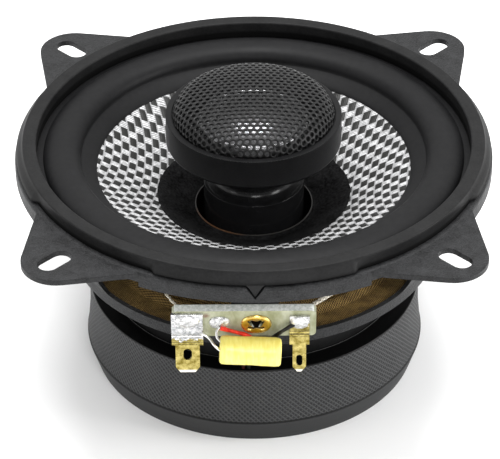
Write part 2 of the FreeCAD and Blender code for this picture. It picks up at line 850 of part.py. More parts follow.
def tweeter_diaphragm():
    """Dome, its roll and the small coil below it."""
    base = D.dome_base
    radius = D.tweeter_coil_radius + D.tweeter_coil_wall
    rise = D.dome_crown - base
    skin = D.dome_wall
    inner_radius = radius - skin * 1.6
    flat = D.crown_flat
    turned("tweeter_dome", [
        (inner_radius, base),
        (radius, base, -cap_radius(radius - flat, rise)),
        (flat, D.dome_crown),
        (ZERO, D.dome_crown),
        (ZERO, D.dome_crown - skin),
        (flat, D.dome_crown - skin, cap_radius(inner_radius - flat, rise - skin)),
    ])
    inner = D.tweeter_coil_radius
    turned("tweeter_coil", ring_outline(inner, radius, D.tweeter_coil_foot, base))
    turned("tweeter_surround", [
        (radius, base - skin),
        (radius, base, D.tweeter_roll_radius),
        (D.faceplate_bore - D.housing_clear, D.cup_top + skin),
        (D.tweeter_surround_radius, D.cup_top + skin),
        (D.tweeter_surround_radius, D.cup_top),
        (D.cup_bore + 0.8, D.cup_top),
    ])


# ---------------------------------------------------------------------------
# Terminal board on the front arm. Local x runs along the board, y up it and z out of its face.
# ---------------------------------------------------------------------------
def on_board(body):
    """Stand a body built in the board's own frame against the front arm, then clock it."""
    lean = Rotation(Vector(1, 0, 0), 90 + D.board_lean.number)
    seat = Placement(Vector(0, -D.board_place.number, D.board_height.number), lean)
    clock = Placement(Vector(0, 0, 0), Rotation(Vector(0, 0, 1), D.clocking.number))
    body.setExpression("Placement.Rotation.Angle", None)
    body.Placement = clock.multiply(seat)
    return body


def board_point(x, y, z):
    """A point given in the board's frame, in the unclocked drawing."""
    lean = Rotation(Vector(1, 0, 0), 90 + D.board_lean.number)
    return Vector(0, -D.board_place.number, D.board_height.number) + lean.multVec(Vector(x, y, z))


def terminal_board():
    """Fibre board with rounded corners and a hole for its rivet."""
    body = new_body("terminal_board")
    half_width, half_depth = D.board_width / 2, D.board_depth / 2
    corner = D.board_corner
    arc = -corner * ARC_SLACK
    left, right = D.board_shift - half_width, D.board_shift + half_width
    low, high = -half_depth, half_depth
    sketch = draw(new_sketch(body, "XY_Plane"), [
        (left + corner, low),
        (right - corner, low, arc),
        (right, low + corner),
        (right, high - corner, arc),
        (right - corner, high),
        (left + corner, high, arc),
        (left, high - corner),
        (left, low + corner, arc),
    ])
    feature(body, "Pad", sketch, Length=D.board_thick)
    hole = new_sketch(body, "XY_Plane", D.board_thick + CUT_CLEAR)
    draw_circle(hole, D.rivet_place, 0, D.rivet_radius)
    cut(body, hole, Length=D.board_thick + CUT_CLEAR * 2)
    on_board(body)


def board_rivet():
    """Brass eyelet through board and arm, with a hollow shank."""
    body = new_body("board_rivet")
    head = draw_circle(new_sketch(body, "XY_Plane", D.board_thick), D.rivet_place, 0, D.rivet_head_radius)
    feature(body, "Pad", head, Length=D.rivet_head)
    shank = draw_circle(new_sketch(body, "XY_Plane", D.board_thick), D.rivet_place, 0, D.rivet_radius)
    grip = D.board_thick + D.sheet_metal * 1.9
    feature(body, "Pad", shank, Length=grip, Reversed=True)
    bore = new_sketch(body, "XY_Plane", D.board_thick + D.rivet_head + CUT_CLEAR)
    draw_circle(bore, D.rivet_place, 0, D.rivet_radius - D.rivet_wall)
    cut(body, bore, Length=grip + D.rivet_head + CUT_CLEAR * 2)
    on_board(body)


def terminal_tab(polarity):
    """Brass tab: a plate on the board's face and a blade that hangs straight down from it."""
    def own(name):
        return getattr(D, f"{polarity}_{name}")

    body = new_body(polarity + "_tab")
    edge = -(D.board_depth / 2)
    middle, half = own("place"), own("width") / 2
    face = new_sketch(body, "XY_Plane", D.board_thick)
    bend = edge - D.tab_metal / 2
    draw(face, box_outline(middle - half, bend, middle + half, own("top")))
    feature(body, "Pad", face, Length=D.tab_metal)
    tongue = own("blade") / 2
    drop = -D.tab_drop
    tip = drop - D.blade_length
    slope, bevel = D.blade_chamfer, D.blade_chamfer * 0.75
    blade = plumb_sketch(body, edge)
    draw(blade, [
        (middle - half, ZERO),
        (middle - half, drop),
        (middle - tongue, drop),
        (middle - tongue, tip + slope),
        (middle - tongue + bevel, tip),
        (middle + tongue - bevel, tip),
        (middle + tongue, tip + slope),
        (middle + tongue, drop),
        (middle + half, drop),
        (middle + half, ZERO),
    ])
    feature(body, "Pad", blade, Length=D.tab_metal)
    half_hole = own("hole") / 2
    straight = own("hole_height") / 2 - half_hole
    centre = drop - own("hole_drop")
    arc = -half_hole * ARC_SLACK
    hole = plumb_sketch(body, edge)
    draw(hole, [
        (middle - half_hole, centre - straight, arc),
        (middle + half_hole, centre - straight),
        (middle + half_hole, centre + straight, arc),
        (middle - half_hole, centre + straight),
    ])
    cut(body, hole, Type="ThroughAll", Midplane=True)
    on_board(body)


def plumb_sketch(body, edge):
    """A sketch in the board's frame that hangs straight down from the board's lower edge."""
    sketch = new_sketch(body, "XY_Plane", D.board_thick, (Vector(-1, 0, 0), D.board_lean.number))
    bind(sketch, "AttachmentOffset.Base.y", edge)
    bind(sketch, "AttachmentOffset.Rotation.Angle", D.board_lean)
    return sketch


# ---------------------------------------------------------------------------
# Wires. Each route is a list of points; straight runs are joined by tangent arcs.
# ---------------------------------------------------------------------------
ARC_SHARE = 0.45


def route_wire(points):
    """A path of straight runs with the largest arcs that the runs allow. Returns it and its radii.

    A point in line with its neighbours makes no arc, and only keeps the next arc small.
    """
    edges, radii = [], []
    start = points[0]
    for before, corner, after in zip(points, points[1:], points[2:]):
        back = (before - corner).normalize()
        ahead = (after - corner).normalize()
        turn = math.pi - back.getAngle(ahead)
        if turn < 1e-3:
            continue
        trim = ARC_SHARE * min((before - corner).Length, (after - corner).Length)
        radius = trim / math.tan(turn / 2)
        radii.append(radius)
        enter = corner + back * trim
        leave = corner + ahead * trim
        inward = (back + ahead).normalize()
        middle = corner + inward * (radius / math.cos(turn / 2) - radius)
        edges.append(Part.LineSegment(start, enter).toShape())
        edges.append(Part.Arc(enter, middle, leave).toShape())
        start = leave
    edges.append(Part.LineSegment(start, points[-1]).toShape())
    return Part.Wire(edges), radii


def tube(label, points, radius):
    """A round wire along a route, from one end of it to the other."""
    path, radii = route_wire(points)
    direction = points[1] - points[0]
    section = Part.Wire(Part.makeCircle(radius, points[0], direction))
    solid = path.makePipeShell([section], True, False)
    expected = math.pi * radius * radius * path.Length
    if abs(solid.Volume - expected) > 0.02 * expected:
        raise ValueError(f"{label} has volume {solid.Volume:.2f}, not {expected:.2f}")
    print(f"{label}: {path.Length:.0f} mm, smallest radius {min(radii):.1f} mm")
    return solid


def shape_part(label, shape):
    """A sub-part whose shape is made directly, in the unclocked drawing."""
    part = doc.addObject("Part::Feature", label + "_shape")
    part.Shape = shape
    return keep(part, label)


# where a tweeter wire meets its tag
WIRE_END = 14.2


def tweeter_wire(label, side, start, to_channel):
    """From the board, behind the capacitor, under the boot, up through the pole to the tweeter."""
    place = D.channel_place.number + 0.5 * side
    bore = 0.55 * side
    wall = -math.sqrt((D.magnet_radius.number + 0.65) ** 2 - place * place)
    under = D.yoke_foot.number + 0.58
    inside = D.housing_floor.number + 0.9
    points = start + to_channel + [
        Vector(place, wall, D.boot_top.number + 2.2),
        Vector(place, wall, under + 4.0),
        Vector(place, wall, under),
        Vector(place, wall + 4.0, under),
        Vector(place, -7.0, under),
        Vector(bore, -2.4, under),
        Vector(bore, 0.0, under),
        Vector(bore, 0.0, under + 4.0),
        Vector(bore, 0.0, inside - 3.0),
        Vector(bore, 0.0, inside),
        Vector(bore + 3.0 * side, 0.0, inside),
        Vector(WIRE_END * side, 0.0, inside),
    ]
    return shape_part(label, tube(label, points, D.wire_radius.number))


def tweeter_wires():
    """Red from the capacitor's joint, black from the narrow tab."""
    height = D.ear_top.number
    red = [board_point(-7.2, -0.3, 2.6), board_point(-4.4, -1.4, 2.75), board_point(-1.2, -3.0, 2.6)]
    red_drop = [
        Vector(-0.7, -43.1, height - 18.9),
        Vector(-1.4, -41.3, height - 22.6),
        Vector(-2.2, -38.8, height - 26.6),
    ]
    tweeter_wire("tweeter_wire_red", -1, red, red_drop)
    black = [board_point(7.9, 0.8, 2.6), board_point(6.0, -0.7, 2.8), board_point(4.1, -3.3, 2.55)]
    black_drop = [
        Vector(2.6, -43.1, height - 18.9),
        Vector(1.0, -41.3, height - 22.6),
        Vector(-0.4, -38.8, height - 26.6),
    ]
    tweeter_wire("tweeter_wire_black", 1, black, black_drop)


EYELET_PLACE = (12.55, -15.6)
EYELET_RADIUS = 0.9
EYELET_HEIGHT = 1.5
EYELET_BITE = 0.25


def eyelet_foot(side):
    """Centre of an eyelet's lower face; its upper edge is pressed a little way into the cone."""
    x, y = EYELET_PLACE
    skin = cone_height(math.hypot(x, y) - EYELET_RADIUS).number - D.cone_wall.number
    return Vector(x * side, y, skin - EYELET_HEIGHT + EYELET_BITE)


def lead_eyelets():
    """Two eyelets under the cone where the tinsel leads end."""
    solids = [Part.makeCylinder(EYELET_RADIUS, EYELET_HEIGHT, eyelet_foot(side)) for side in (-1, 1)]
    shape_part("lead_eyelets", Part.makeCompound(solids))


def tinsel_leads():
    """Braided leads from the board's back edge, through the windows, to the eyelets under the cone."""
    height = D.ear_top.number
    left_end, right_end = eyelet_foot(-1), eyelet_foot(1)
    left = [
        Vector(-15.6, -42.1, height - 11.2),
        Vector(-17.1, -40.9, height - 10.1),
        Vector(-19.3, -37.3, height - 9.2),
        Vector(-20.0, -32.0, height - 10.4),
        Vector(-18.4, -25.6, height - 13.4),
        Vector(-15.4, -19.6, height - 16.2),
        left_end - Vector(0, 0, 3.4),
        left_end,
    ]
    right = [
        Vector(10.8, -41.95, height - 11.6),
        Vector(12.5, -41.0, height - 10.6),
        Vector(16.6, -37.4, height - 10.6),
        Vector(19.2, -31.8, height - 11.4),
        Vector(18.0, -25.4, height - 13.7),
        Vector(15.3, -19.6, height - 16.2),
        right_end - Vector(0, 0, 3.4),
        right_end,
    ]
    for label, points in (("tinsel_lead_left", left), ("tinsel_lead_right", right)):
        shape_part(label, tube(label, points, D.tinsel_radius.number))


def capacitor():
    """Wrapped film capacitor lying crosswise in front of the wires."""
    body = new_body("capacitor")
    radius, corner = D.capacitor_radius, D.capacitor_corner
    half = D.capacitor_length / 2
    arc = -corner * ARC_SLACK
    sketch = draw(new_sketch(body, "XZ_Plane"), [
        (ZERO, -half),
        (radius - corner, -half, arc),
        (radius, -half + corner),
        (radius, half - corner, arc),
        (radius - corner, half),
        (ZERO, half),
    ])
    feature(body, "Revolution", sketch, Angle=360)
    body.setExpression("Placement.Rotation.Angle", None)
    lie = Rotation(Vector(0, 1, 0), 90 + D.capacitor_lean.number)
    place = Vector(D.capacitor_shift.number, -D.capacitor_out.number, D.capacitor_height.number)
    clock = Placement(Vector(0, 0, 0), Rotation(Vector(0, 0, 1), D.clocking.number))
    body.Placement = clock.multiply(Placement(place, lie))


def capacitor_end():
    """Centre of the capacitor's left end face, in the unclocked drawing."""
    lean = math.radians(D.capacitor_lean.number)
    half = D.capacitor_length.number / 2
    middle = Vector(D.capacitor_shift.number, -D.capacitor_out.number, D.capacitor_height.number)
    return middle + Vector(-half * math.cos(lean), 0, half * math.sin(lean))


def capacitor_leads():
    """Both leads leave the left end: one to the wide tab, one to the joint on the board."""
    end = capacitor_end()
    radius = D.lead_radius.number
    to_tab = [
        board_point(-11.0, -2.2, 2.55),
        board_point(-9.4, -3.1, 2.9),
        end + Vector(-1.2, 0.3, 0.7),
        end + Vector(0, 0.2, -0.5),
    ]
    to_joint = [
        end + Vector(-0.5, 1.95, 3.6),
        end + Vector(-0.65, 1.6, 2.75),
        end + Vector(-0.5, 1.0, 2.05),
        end + Vector(0, 0.5, 1.7),
    ]
    leads = []
    for name, points in (("lead to the tab", to_tab), ("lead to the joint", to_joint)):
        leads.append(tube(name, points, radius))
    shape_part("capacitor_leads", Part.makeCompound(leads))


def solder_joints():
    """Domed solder on both tabs and at the capacitor's joint on the board."""
    board, tab = D.board_thick.number, D.board_thick.number + D.tab_metal.number
    joints = []
    for x, y, base, radius, rise in (
        (D.positive_place.number, 1.5, tab, 2.3, 1.0),
        (-7.3, 0.6, board, 2.1, 1.1),
        (D.negative_place.number, 1.1, tab, 1.9, 1.2),
    ):
        sphere = cap_radius(radius, rise)
        centre = Vector(x, y, base + rise - sphere)
        ball = Part.makeSphere(sphere, centre)
        slab = Part.makeBox(4 * radius, 4 * radius, 2 * rise, Vector(x - 2 * radius, y - 2 * radius, base))
        joints.append(ball.common(slab))
    part = shape_part("solder_joints", Part.makeCompound(joints))
    on_board(part)


TAG_METAL = 0.6
TAG_WIDTH = 2.4
TAG_HEIGHT = 3.2


def tweeter_tags():
    """Two brass tags on the housing's floor where the tweeter's wires end."""
    tags = []
    floor = D.housing_floor.number
    for side in (-1, 1):
        near = WIRE_END if side > 0 else -WIRE_END - TAG_METAL
        tags.append(Part.makeBox(TAG_METAL, TAG_WIDTH, TAG_HEIGHT, Vector(near, -TAG_WIDTH / 2, floor)))
    shape_part("tweeter_tags", Part.makeCompound(tags))


# ---------------------------------------------------------------------------
# Assembly, checks and export
# ---------------------------------------------------------------------------
def build():
    basket()
    gasket()
    cone()
    felt_ring()
    voice_coil()
    surround()
    spider()
    magnet_system()
    magnet_boot()
    basket_rivets()
    tweeter_post()
    tweeter_housing()
    tweeter_grille()
    tweeter_motor()
    feet, foot = tweeter_spacers()
    around_axis(feet, [foot], 3)
    tweeter_diaphragm()
    terminal_board()
    board_rivet()
    terminal_tab("positive")
    terminal_tab("negative")
    capacitor()
    capacitor_leads()
    solder_joints()
    tweeter_wires()
    tweeter_tags()
    tinsel_leads()
    lead_eyelets()
    doc.recompute()


def check():
    """Stop if any object failed or any sub-part has no sound shape."""
    for item in doc.Objects:
        if "Invalid" in item.State or "Error" in item.State:
            owner = item.getParentGeoFeatureGroup()
            where = owner.Label if owner else "the document"
            raise ValueError(f"{item.Label} of {where} is {item.State}")
    for item in SUBPARTS:
        if item.Shape.isNull() or not item.Shape.isValid():
            raise ValueError(f"{item.Label} has no sound shape")


def export():
    os.makedirs("parts", exist_ok=True)
    for item in SUBPARTS:
        item.Shape.exportStep(f"parts/{item.Label}.step")
        count = len(item.Shape.Solids)
        print(f"{item.Label}: {count} solid(s), {item.Shape.Volume / 1000:.2f} cm3")


build()
check()
export()
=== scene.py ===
"""Looks of the coaxial car loudspeaker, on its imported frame.

Pieces are drawn in millimetres with the terminals towards -Y, and then clocked by 45 degrees
about +Z, which puts them in the row frame, where the ear slots lie on X and Y.
"""

import math
import random

import bmesh
import bpy
from mathutils import Matrix, Vector
from mathutils import noise as perlin


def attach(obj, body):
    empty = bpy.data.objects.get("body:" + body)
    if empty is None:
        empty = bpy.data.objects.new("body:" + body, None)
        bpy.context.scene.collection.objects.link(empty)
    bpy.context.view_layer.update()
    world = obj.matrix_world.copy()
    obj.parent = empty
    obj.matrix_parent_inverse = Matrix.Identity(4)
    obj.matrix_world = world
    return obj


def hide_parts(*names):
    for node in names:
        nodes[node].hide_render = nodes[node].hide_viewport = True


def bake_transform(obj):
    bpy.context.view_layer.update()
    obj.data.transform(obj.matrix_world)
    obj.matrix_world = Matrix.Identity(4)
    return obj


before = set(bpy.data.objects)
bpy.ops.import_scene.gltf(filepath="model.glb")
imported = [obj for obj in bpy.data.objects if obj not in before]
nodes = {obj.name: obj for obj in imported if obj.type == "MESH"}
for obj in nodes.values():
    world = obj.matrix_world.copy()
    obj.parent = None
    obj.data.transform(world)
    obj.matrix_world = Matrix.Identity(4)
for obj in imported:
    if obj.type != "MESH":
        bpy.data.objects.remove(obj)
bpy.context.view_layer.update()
random.seed(7)

MM = 0.001
CLOCK = math.radians(45)
EAR_TOP = 51.2
BOARD_LEAN = math.radians(17.5)
BOARD_SEAT = Vector((0, -42.1, 37.8))
# radii of the cone's bore, of the two edges of its bare weave and of its rim
CONE_BORE, WEAVE_START, WEAVE_END, CONE_RIM = 12.7, 20.4, 33.9, 37.1
# the cone's height at the bore, its slope, and how far its underside lies below
CONE_FOOT, CONE_RISE, CONE_BACK = 36.0, 0.531, 0.58
# turns of the weave: factors of x, y, x3, xy2, x2y, y3 and the offset, with x and y in this unit
WEAVE_UNIT = 30
WEAVE_COLUMNS = (20.501, -1.825, -1.254, -4.101, -1.027, 1.760, 20.905)
WEAVE_ROWS = (-3.525, 17.598, 1.416, 2.053, -0.089, -1.583, -2.960)


# ---------------------------------------------------------------------------
# Camera and light
# ---------------------------------------------------------------------------
def make_camera():
    """The photograph's camera, as solved from the ears, the gasket and the boot."""
    data = bpy.data.cameras.new("camera")
    data.lens = 219.27
    data.sensor_width = 36
    data.clip_start, data.clip_end = 0.01, 20
    camera = bpy.data.objects.new("camera", data)
    bpy.context.scene.collection.objects.link(camera)
    clock = Matrix.Rotation(CLOCK, 4, "Z")
    place = clock @ Vector((-2.18, -541.93, 361.0 + EAR_TOP)) * MM
    look = clock.to_3x3() @ Vector((0.00198, 0.81719, -0.57637))
    camera.rotation_mode = "QUATERNION"
    camera.location = place
    roll = Matrix.Rotation(math.radians(-0.266), 3, "Z").to_quaternion()
    camera.rotation_quaternion = look.to_track_quat("-Z", "Y") @ roll
    bpy.context.scene.camera = camera


def area_light(name, place, size, power):
    data = bpy.data.lights.new(name, "AREA")
    data.shape = "RECTANGLE"
    data.size, data.size_y = size
    data.energy = power
    lamp = bpy.data.objects.new(name, data)
    bpy.context.scene.collection.objects.link(lamp)
    clock = Matrix.Rotation(CLOCK, 4, "Z")
    lamp.location = clock @ Vector(place) * MM
    direction = Vector((0, 0, 40)) * MM - lamp.location
    lamp.rotation_euler = direction.to_track_quat("-Z", "Y").to_euler()


def make_studio():
    """White paper under a soft box; the room on the camera's side is dimmer."""
    scene = bpy.context.scene
    scene.view_settings.view_transform = "Standard"
    scene.world = bpy.data.worlds.new("studio")
    scene.world.use_nodes = True
    tree = scene.world.node_tree
    background = tree.nodes["Background"]
    background.inputs["Color"].default_value = (1, 1, 1, 1)
    direction = tree.nodes.new("ShaderNodeTexCoord")
    towards = tree.nodes.new("ShaderNodeVectorMath")
    towards.operation = "DOT_PRODUCT"
    towards.inputs[1].default_value = (math.sin(CLOCK), -math.cos(CLOCK), 0)
    dim = tree.nodes.new("ShaderNodeMapRange")
    for socket, number in zip(dim.inputs[1:5], (0.1, 0.9, 1.0, 0.45)):
        socket.default_value = number
    tree.links.new(direction.outputs["Generated"], towards.inputs[0])
    tree.links.new(towards.outputs["Value"], dim.inputs[0])
    tree.links.new(dim.outputs[0], background.inputs["Strength"])
    area_light("key", (0, 160, 850), (0.5, 0.3), 7)
    area_light("right", (750, -160, 300), (0.35, 0.5), 4)
    area_light("left", (-750, -260, 200), (0.3, 0.4), 0.8)
    area_light("front", (120, -800, 620), (0.4, 0.3), 3)
    mesh = bpy.data.meshes.new("floor")
    half = 3.0
    mesh.from_pydata([(-half, -half, 0), (half, -half, 0), (half, half, 0), (-half, half, 0)], [], [(0, 1, 2, 3)])
    floor = bpy.data.objects.new("floor", mesh)
    scene.collection.objects.link(floor)
    paper = Finish("floor_paper", rough=0.9, specular=0.1)
    paper.grain((0.985, 0.985, 0.985), (0.995, 0.995, 0.995), 6.0)
    mesh.materials.append(paper.material)


# ---------------------------------------------------------------------------
# Materials
# ---------------------------------------------------------------------------
class Finish:
    """A Principled material with its coordinates in millimetres, unclocked."""

    def __init__(self, name, rough=0.5, metallic=0.0, specular=0.5, coat=0.0):
        self.material = bpy.data.materials.new(name)
        self.material.use_nodes = True
        self.tree = self.material.node_tree
        self.shader = self.tree.nodes["Principled BSDF"]
        for socket, number in (("Roughness", rough), ("Metallic", metallic), ("Specular IOR Level", specular),
                               ("Coat Weight", coat)):
            self.shader.inputs[socket].default_value = number
        coordinates = self.add("ShaderNodeTexCoord")
        mapping = self.add("ShaderNodeMapping", Vector=coordinates.outputs["Object"])
        mapping.inputs["Rotation"].default_value = (0, 0, -CLOCK)
        mapping.inputs["Scale"].default_value = (1000, 1000, 1000)
        self.place = mapping.outputs[0]
        self.normal = None

    def add(self, kind, properties=None, **inputs):
        node = self.tree.nodes.new(kind)
        for key, value in (properties or {}).items():
            setattr(node, key, value)
        for key, value in inputs.items():
            self.feed(node.inputs[key.replace("_", " ")], value)
        return node

    def feed(self, socket, value):
        if isinstance(value, bpy.types.NodeSocket):
            self.tree.links.new(value, socket)
        else:
            socket.default_value = value

    def math(self, operation, *values):
        node = self.add("ShaderNodeMath", {"operation": operation})
        for socket, value in zip(node.inputs, values):
            self.feed(socket, value)
        return node.outputs[0]

    def noise(self, size, detail=3.0, vector=None):
        """Noise whose features are about this many millimetres across."""
        node = self.add("ShaderNodeTexNoise", Vector=vector or self.place, Scale=1.0 / size,
                        Detail=detail, Roughness=0.6)
        return node.outputs["Fac"]

    def spread(self, value, low, high, to_low=0.0, to_high=1.0):
        node = self.add("ShaderNodeMapRange", {"clamp": True})
        for socket, number in zip(node.inputs, (value, low, high, to_low, to_high)):
            self.feed(socket, number)
        return node.outputs[0]

    def mix(self, share, first, second):
        node = self.add("ShaderNodeMix", {"data_type": "RGBA"})
        self.feed(node.inputs[0], share)
        for socket, value in ((node.inputs[6], first), (node.inputs[7], second)):
            self.feed(socket, value if isinstance(value, bpy.types.NodeSocket) else (*value, 1))
        return node.outputs[2]

    def axes(self):
        node = self.add("ShaderNodeSeparateXYZ", Vector=self.place)
        return node.outputs

    def radius(self, x, y):
        return self.math("SQRT", self.math("ADD", self.math("MULTIPLY", x, x), self.math("MULTIPLY", y, y)))

    def colour(self, value):
        self.feed(self.shader.inputs["Base Color"], value)

    def roughness(self, value):
        self.feed(self.shader.inputs["Roughness"], value)

    def bump(self, height, distance, strength=1.0):
        """Relief this many millimetres deep, on top of any before it."""
        node = self.add("ShaderNodeBump", Strength=strength, Distance=distance * MM, Height=height)
        if self.normal is not None:
            self.feed(node.inputs["Normal"], self.normal)
        self.normal = node.outputs[0]
        self.feed(self.shader.inputs["Normal"], self.normal)

    def round_edges(self, radius):
        """Softens sharp edges; called before any bump."""
        node = self.add("ShaderNodeBevel", {"samples": 4}, Radius=radius * MM)
        self.normal = node.outputs[0]
        self.feed(self.shader.inputs["Normal"], self.normal)

    def drift(self, dark, light, size):
        """A colour between two values, and the fine and the wide noise that move it."""
        fine = self.noise(size)
        wide = self.noise(size * 9, detail=2.0)
        blend = self.math("ADD", self.math("MULTIPLY", fine, 0.6), self.math("MULTIPLY", wide, 0.4))
        return self.mix(self.spread(blend, 0.35, 0.65), dark, light), fine, wide

    def grain(self, dark, light, size, relief=0.0, rough=None):
        """A drifting colour, with matching relief and roughness."""
        tone, fine, wide = self.drift(dark, light, size)
        self.colour(tone)
        if rough is not None:
            self.roughness(self.spread(wide, 0.3, 0.7, *rough))
        if relief:
            self.bump(fine, relief)


def simple(name, dark, light, size, relief=0.0, rough=(0.4, 0.5), edge=0.0, **finish):
    made = Finish(name, **finish)
    if edge:
        made.round_edges(edge)
    made.grain(dark, light, size, relief, rough)
    return made.material


def basket_paint():
    made = Finish("basket_paint", specular=0.22)
    made.round_edges(0.25)
    made.grain((0.002, 0.002, 0.0022), (0.030, 0.0305, 0.032), 0.30, 0.0, (0.42, 0.58))
    made.bump(made.noise(0.42, detail=3.0), 0.16, 1.0)
    return made.material


def ring_rubber():
    """Moulded rubber, duller under the skirt's turn, where its colour is painted near-black as shade."""
    made = Finish("gasket_rubber", specular=0.14)
    tone, _, _ = made.drift((0.006, 0.006, 0.0062), (0.014, 0.014, 0.0142), 0.5)
    # painted shade: under the skirt's turn the rubber is drawn near-black
    under = made.spread(made.axes()[2], 52.5, 51.9)
    made.colour(made.mix(under, tone, (0.0006, 0.0006, 0.0006)))
    made.roughness(made.spread(under, 0.0, 1.0, 0.52, 0.8))
    made.bump(made.noise(0.5), 0.02)
    return made.material


def boot_rubber():
    """Fine crosshatch moulded into the sides, under a smooth glossy lip with a sharp inner edge. The lip's top is
    painted near-black as shade, with a painted highlight along its inner edge, and a painted shade line runs where the
    side meets the belt.
    """
    made = Finish("boot_rubber", specular=0.2)
    lip_foot, belt_top = 18.65, 5.3
    x, y, z = made.axes()
    radius = made.radius(x, y)
    angle = made.math("ARCTAN2", y, x)
    around = made.math("MULTIPLY", angle, 36.0)
    lines = []
    for sign in (1.0, -1.0):
        slant = made.math("ADD", around, made.math("MULTIPLY", z, sign))
        slant = made.math("ADD", slant, made.math("MULTIPLY", made.noise(3.0), 0.6))
        wave = made.math("SINE", made.math("MULTIPLY", slant, 2 * math.pi / 1.13))
        lines.append(made.spread(wave, -0.2, 0.9))
    ridge = made.math("MAXIMUM", lines[0], made.math("MULTIPLY", lines[1], 0.7))
    side = made.math("MULTIPLY", made.math("LESS_THAN", z, lip_foot), made.math("GREATER_THAN", z, 5.5))
    height = made.math("MULTIPLY", ridge, side)
    fine = made.noise(0.6)
    wide = made.noise(14.0, detail=2.0)
    base = made.mix(made.spread(made.math("ADD", fine, wide), 0.8, 1.2),
                    (0.011, 0.0112, 0.0115), (0.022, 0.0225, 0.023))
    hatched = made.mix(made.math("MULTIPLY", height, 0.55), base, (0.085, 0.086, 0.088))
    lip = made.math("GREATER_THAN", z, lip_foot)
    # painted highlight: a light line along the lip's inner edge
    edge = made.math("MULTIPLY", made.spread(radius, 32.12, 32.02), made.math("GREATER_THAN", z, 18.8))
    # painted shade: the lip's top is drawn near-black
    shaded = made.mix(lip, hatched, (0.0015, 0.0015, 0.0016))
    # painted shade: a dark line where the crosshatched side meets the belt
    belt_shade_line = made.math("MULTIPLY", made.math("GREATER_THAN", z, belt_top), made.math("LESS_THAN", z, 5.75))
    shaded = made.mix(made.math("MULTIPLY", belt_shade_line, 0.85), shaded, (0.004, 0.004, 0.004))
    shaded = made.mix(made.math("LESS_THAN", z, belt_top), shaded, (0.030, 0.0305, 0.031))
    made.colour(made.mix(made.math("MULTIPLY", edge, 0.9), shaded, (0.26, 0.26, 0.26)))
    made.roughness(made.spread(lip, 0.0, 1.0, 0.58, 0.3))
    made.bump(height, 0.10, 0.8)
    made.bump(fine, 0.02, 0.5)
    return made.material


def cloth_turns(x, y):
    """Columns and half rows of the weave at a point: pressing the cloth has stretched it towards the rim."""
    x, y = x / WEAVE_UNIT, y / WEAVE_UNIT
    terms = (x, y, x ** 3, x * y * y, x * x * y, y ** 3)
    return tuple(sum(a * b for a, b in zip(line, terms)) + line[-1] for line in (WEAVE_COLUMNS, WEAVE_ROWS))


def weave_place(made):
    """The same turns, as shader nodes."""
    x, y, _ = (made.math("MULTIPLY", axis, 1 / WEAVE_UNIT) for axis in made.axes())
    xx, yy = made.math("MULTIPLY", x, x), made.math("MULTIPLY", y, y)
    terms = (x, y, made.math("MULTIPLY", xx, x), made.math("MULTIPLY", x, yy), made.math("MULTIPLY", xx, y),
             made.math("MULTIPLY", yy, y))
    turns = []
    for line in (WEAVE_COLUMNS, WEAVE_ROWS):
        total = line[-1]
        for factor, term in zip(line, terms):
            total = made.math("ADD", total, made.math("MULTIPLY", term, factor))
        turns.append(total)
    return turns


def woven_cloth():
    """Silver tows crossed by black ones."""
    made = Finish("woven_cone", specular=0.25)
    u, v = weave_place(made)
    column = made.math("FLOOR", u)
    inside = made.math("SUBTRACT", u, column)
    parity = made.math("MODULO", made.math("ABSOLUTE", column), 2.0)
    row = made.math("FRACT", made.math("DIVIDE", made.math("ADD", v, parity), 2.0))
    off_x = made.math("ABSOLUTE", made.math("SUBTRACT", inside, 0.5))
    off_y = made.math("ABSOLUTE", made.math("SUBTRACT", row, 0.5))
    ragged = made.math("MULTIPLY", made.math("SUBTRACT", made.noise(0.5), 0.5), 0.05)
    edge_x = made.spread(made.math("ADD", off_x, ragged), 0.45, 0.39)
    edge_y = made.spread(made.math("ADD", off_y, ragged), 0.315, 0.275)
    dark = made.math("MULTIPLY", edge_x, edge_y)
    strand = made.math("SINE", made.math("MULTIPLY", v, 2 * math.pi * 4.5))
    strand_dark = made.math("SINE", made.math("MULTIPLY", u, 2 * math.pi * 5))
    shade = made.math("ADD", made.noise(0.9), made.math("MULTIPLY", strand, 0.22))
    silver = made.mix(made.spread(shade, 0.3, 0.75), (0.20, 0.20, 0.203), (0.84, 0.84, 0.85))
    black = made.mix(made.noise(0.6), (0.003, 0.003, 0.003), (0.022, 0.022, 0.020))
    seam = made.mix(made.spread(off_x, 0.40, 0.5), silver, (0.26, 0.26, 0.265))
    made.colour(made.mix(dark, seam, black))
    made.roughness(made.spread(dark, 0.0, 1.0, 0.34, 0.42))
    crown = made.math("MULTIPLY", made.math("COSINE", made.math("MULTIPLY", off_x, math.pi)),
                      made.math("COSINE", made.math("MULTIPLY", off_y, math.pi)))
    made.bump(made.math("ABSOLUTE", made.math("SUBTRACT", crown, made.math("MULTIPLY", dark, 0.4))), 0.12, 0.7)
    fibres = made.math("ADD", made.math("MULTIPLY", strand, made.math("SUBTRACT", 1.0, dark)),
                       made.math("MULTIPLY", strand_dark, dark))
    made.bump(fibres, 0.02, 0.5)
    return made.material


def spider_cloth():
    """Golden brown plain weave, stiffened with resin."""
    made = Finish("spider_cloth", specular=0.12)
    x, y, _ = made.axes()
    pitch = 0.56
    lean = made.math("ADD", x, made.math("MULTIPLY", y, 0.35))
    rise = made.math("SUBTRACT", y, made.math("MULTIPLY", x, 0.35))
    waves = [made.math("SINE", made.math("MULTIPLY", a, 2 * math.pi / pitch)) for a in (lean, rise)]
    product = made.math("MULTIPLY", *waves)
    patches = made.noise(2.6)
    share = made.spread(made.math("ADD", product, made.math("MULTIPLY", patches, 2.4)), 0.5, 2.1)
    cloth = made.mix(share, (0.046, 0.025, 0.008), (0.33, 0.215, 0.072))
    made.colour(made.mix(made.spread(product, -0.35, -0.8), cloth, (0.006, 0.003, 0.001)))
    made.roughness(made.spread(patches, 0.3, 0.7, 0.6, 0.8))
    made.bump(product, 0.08, 0.9)
    return made.material


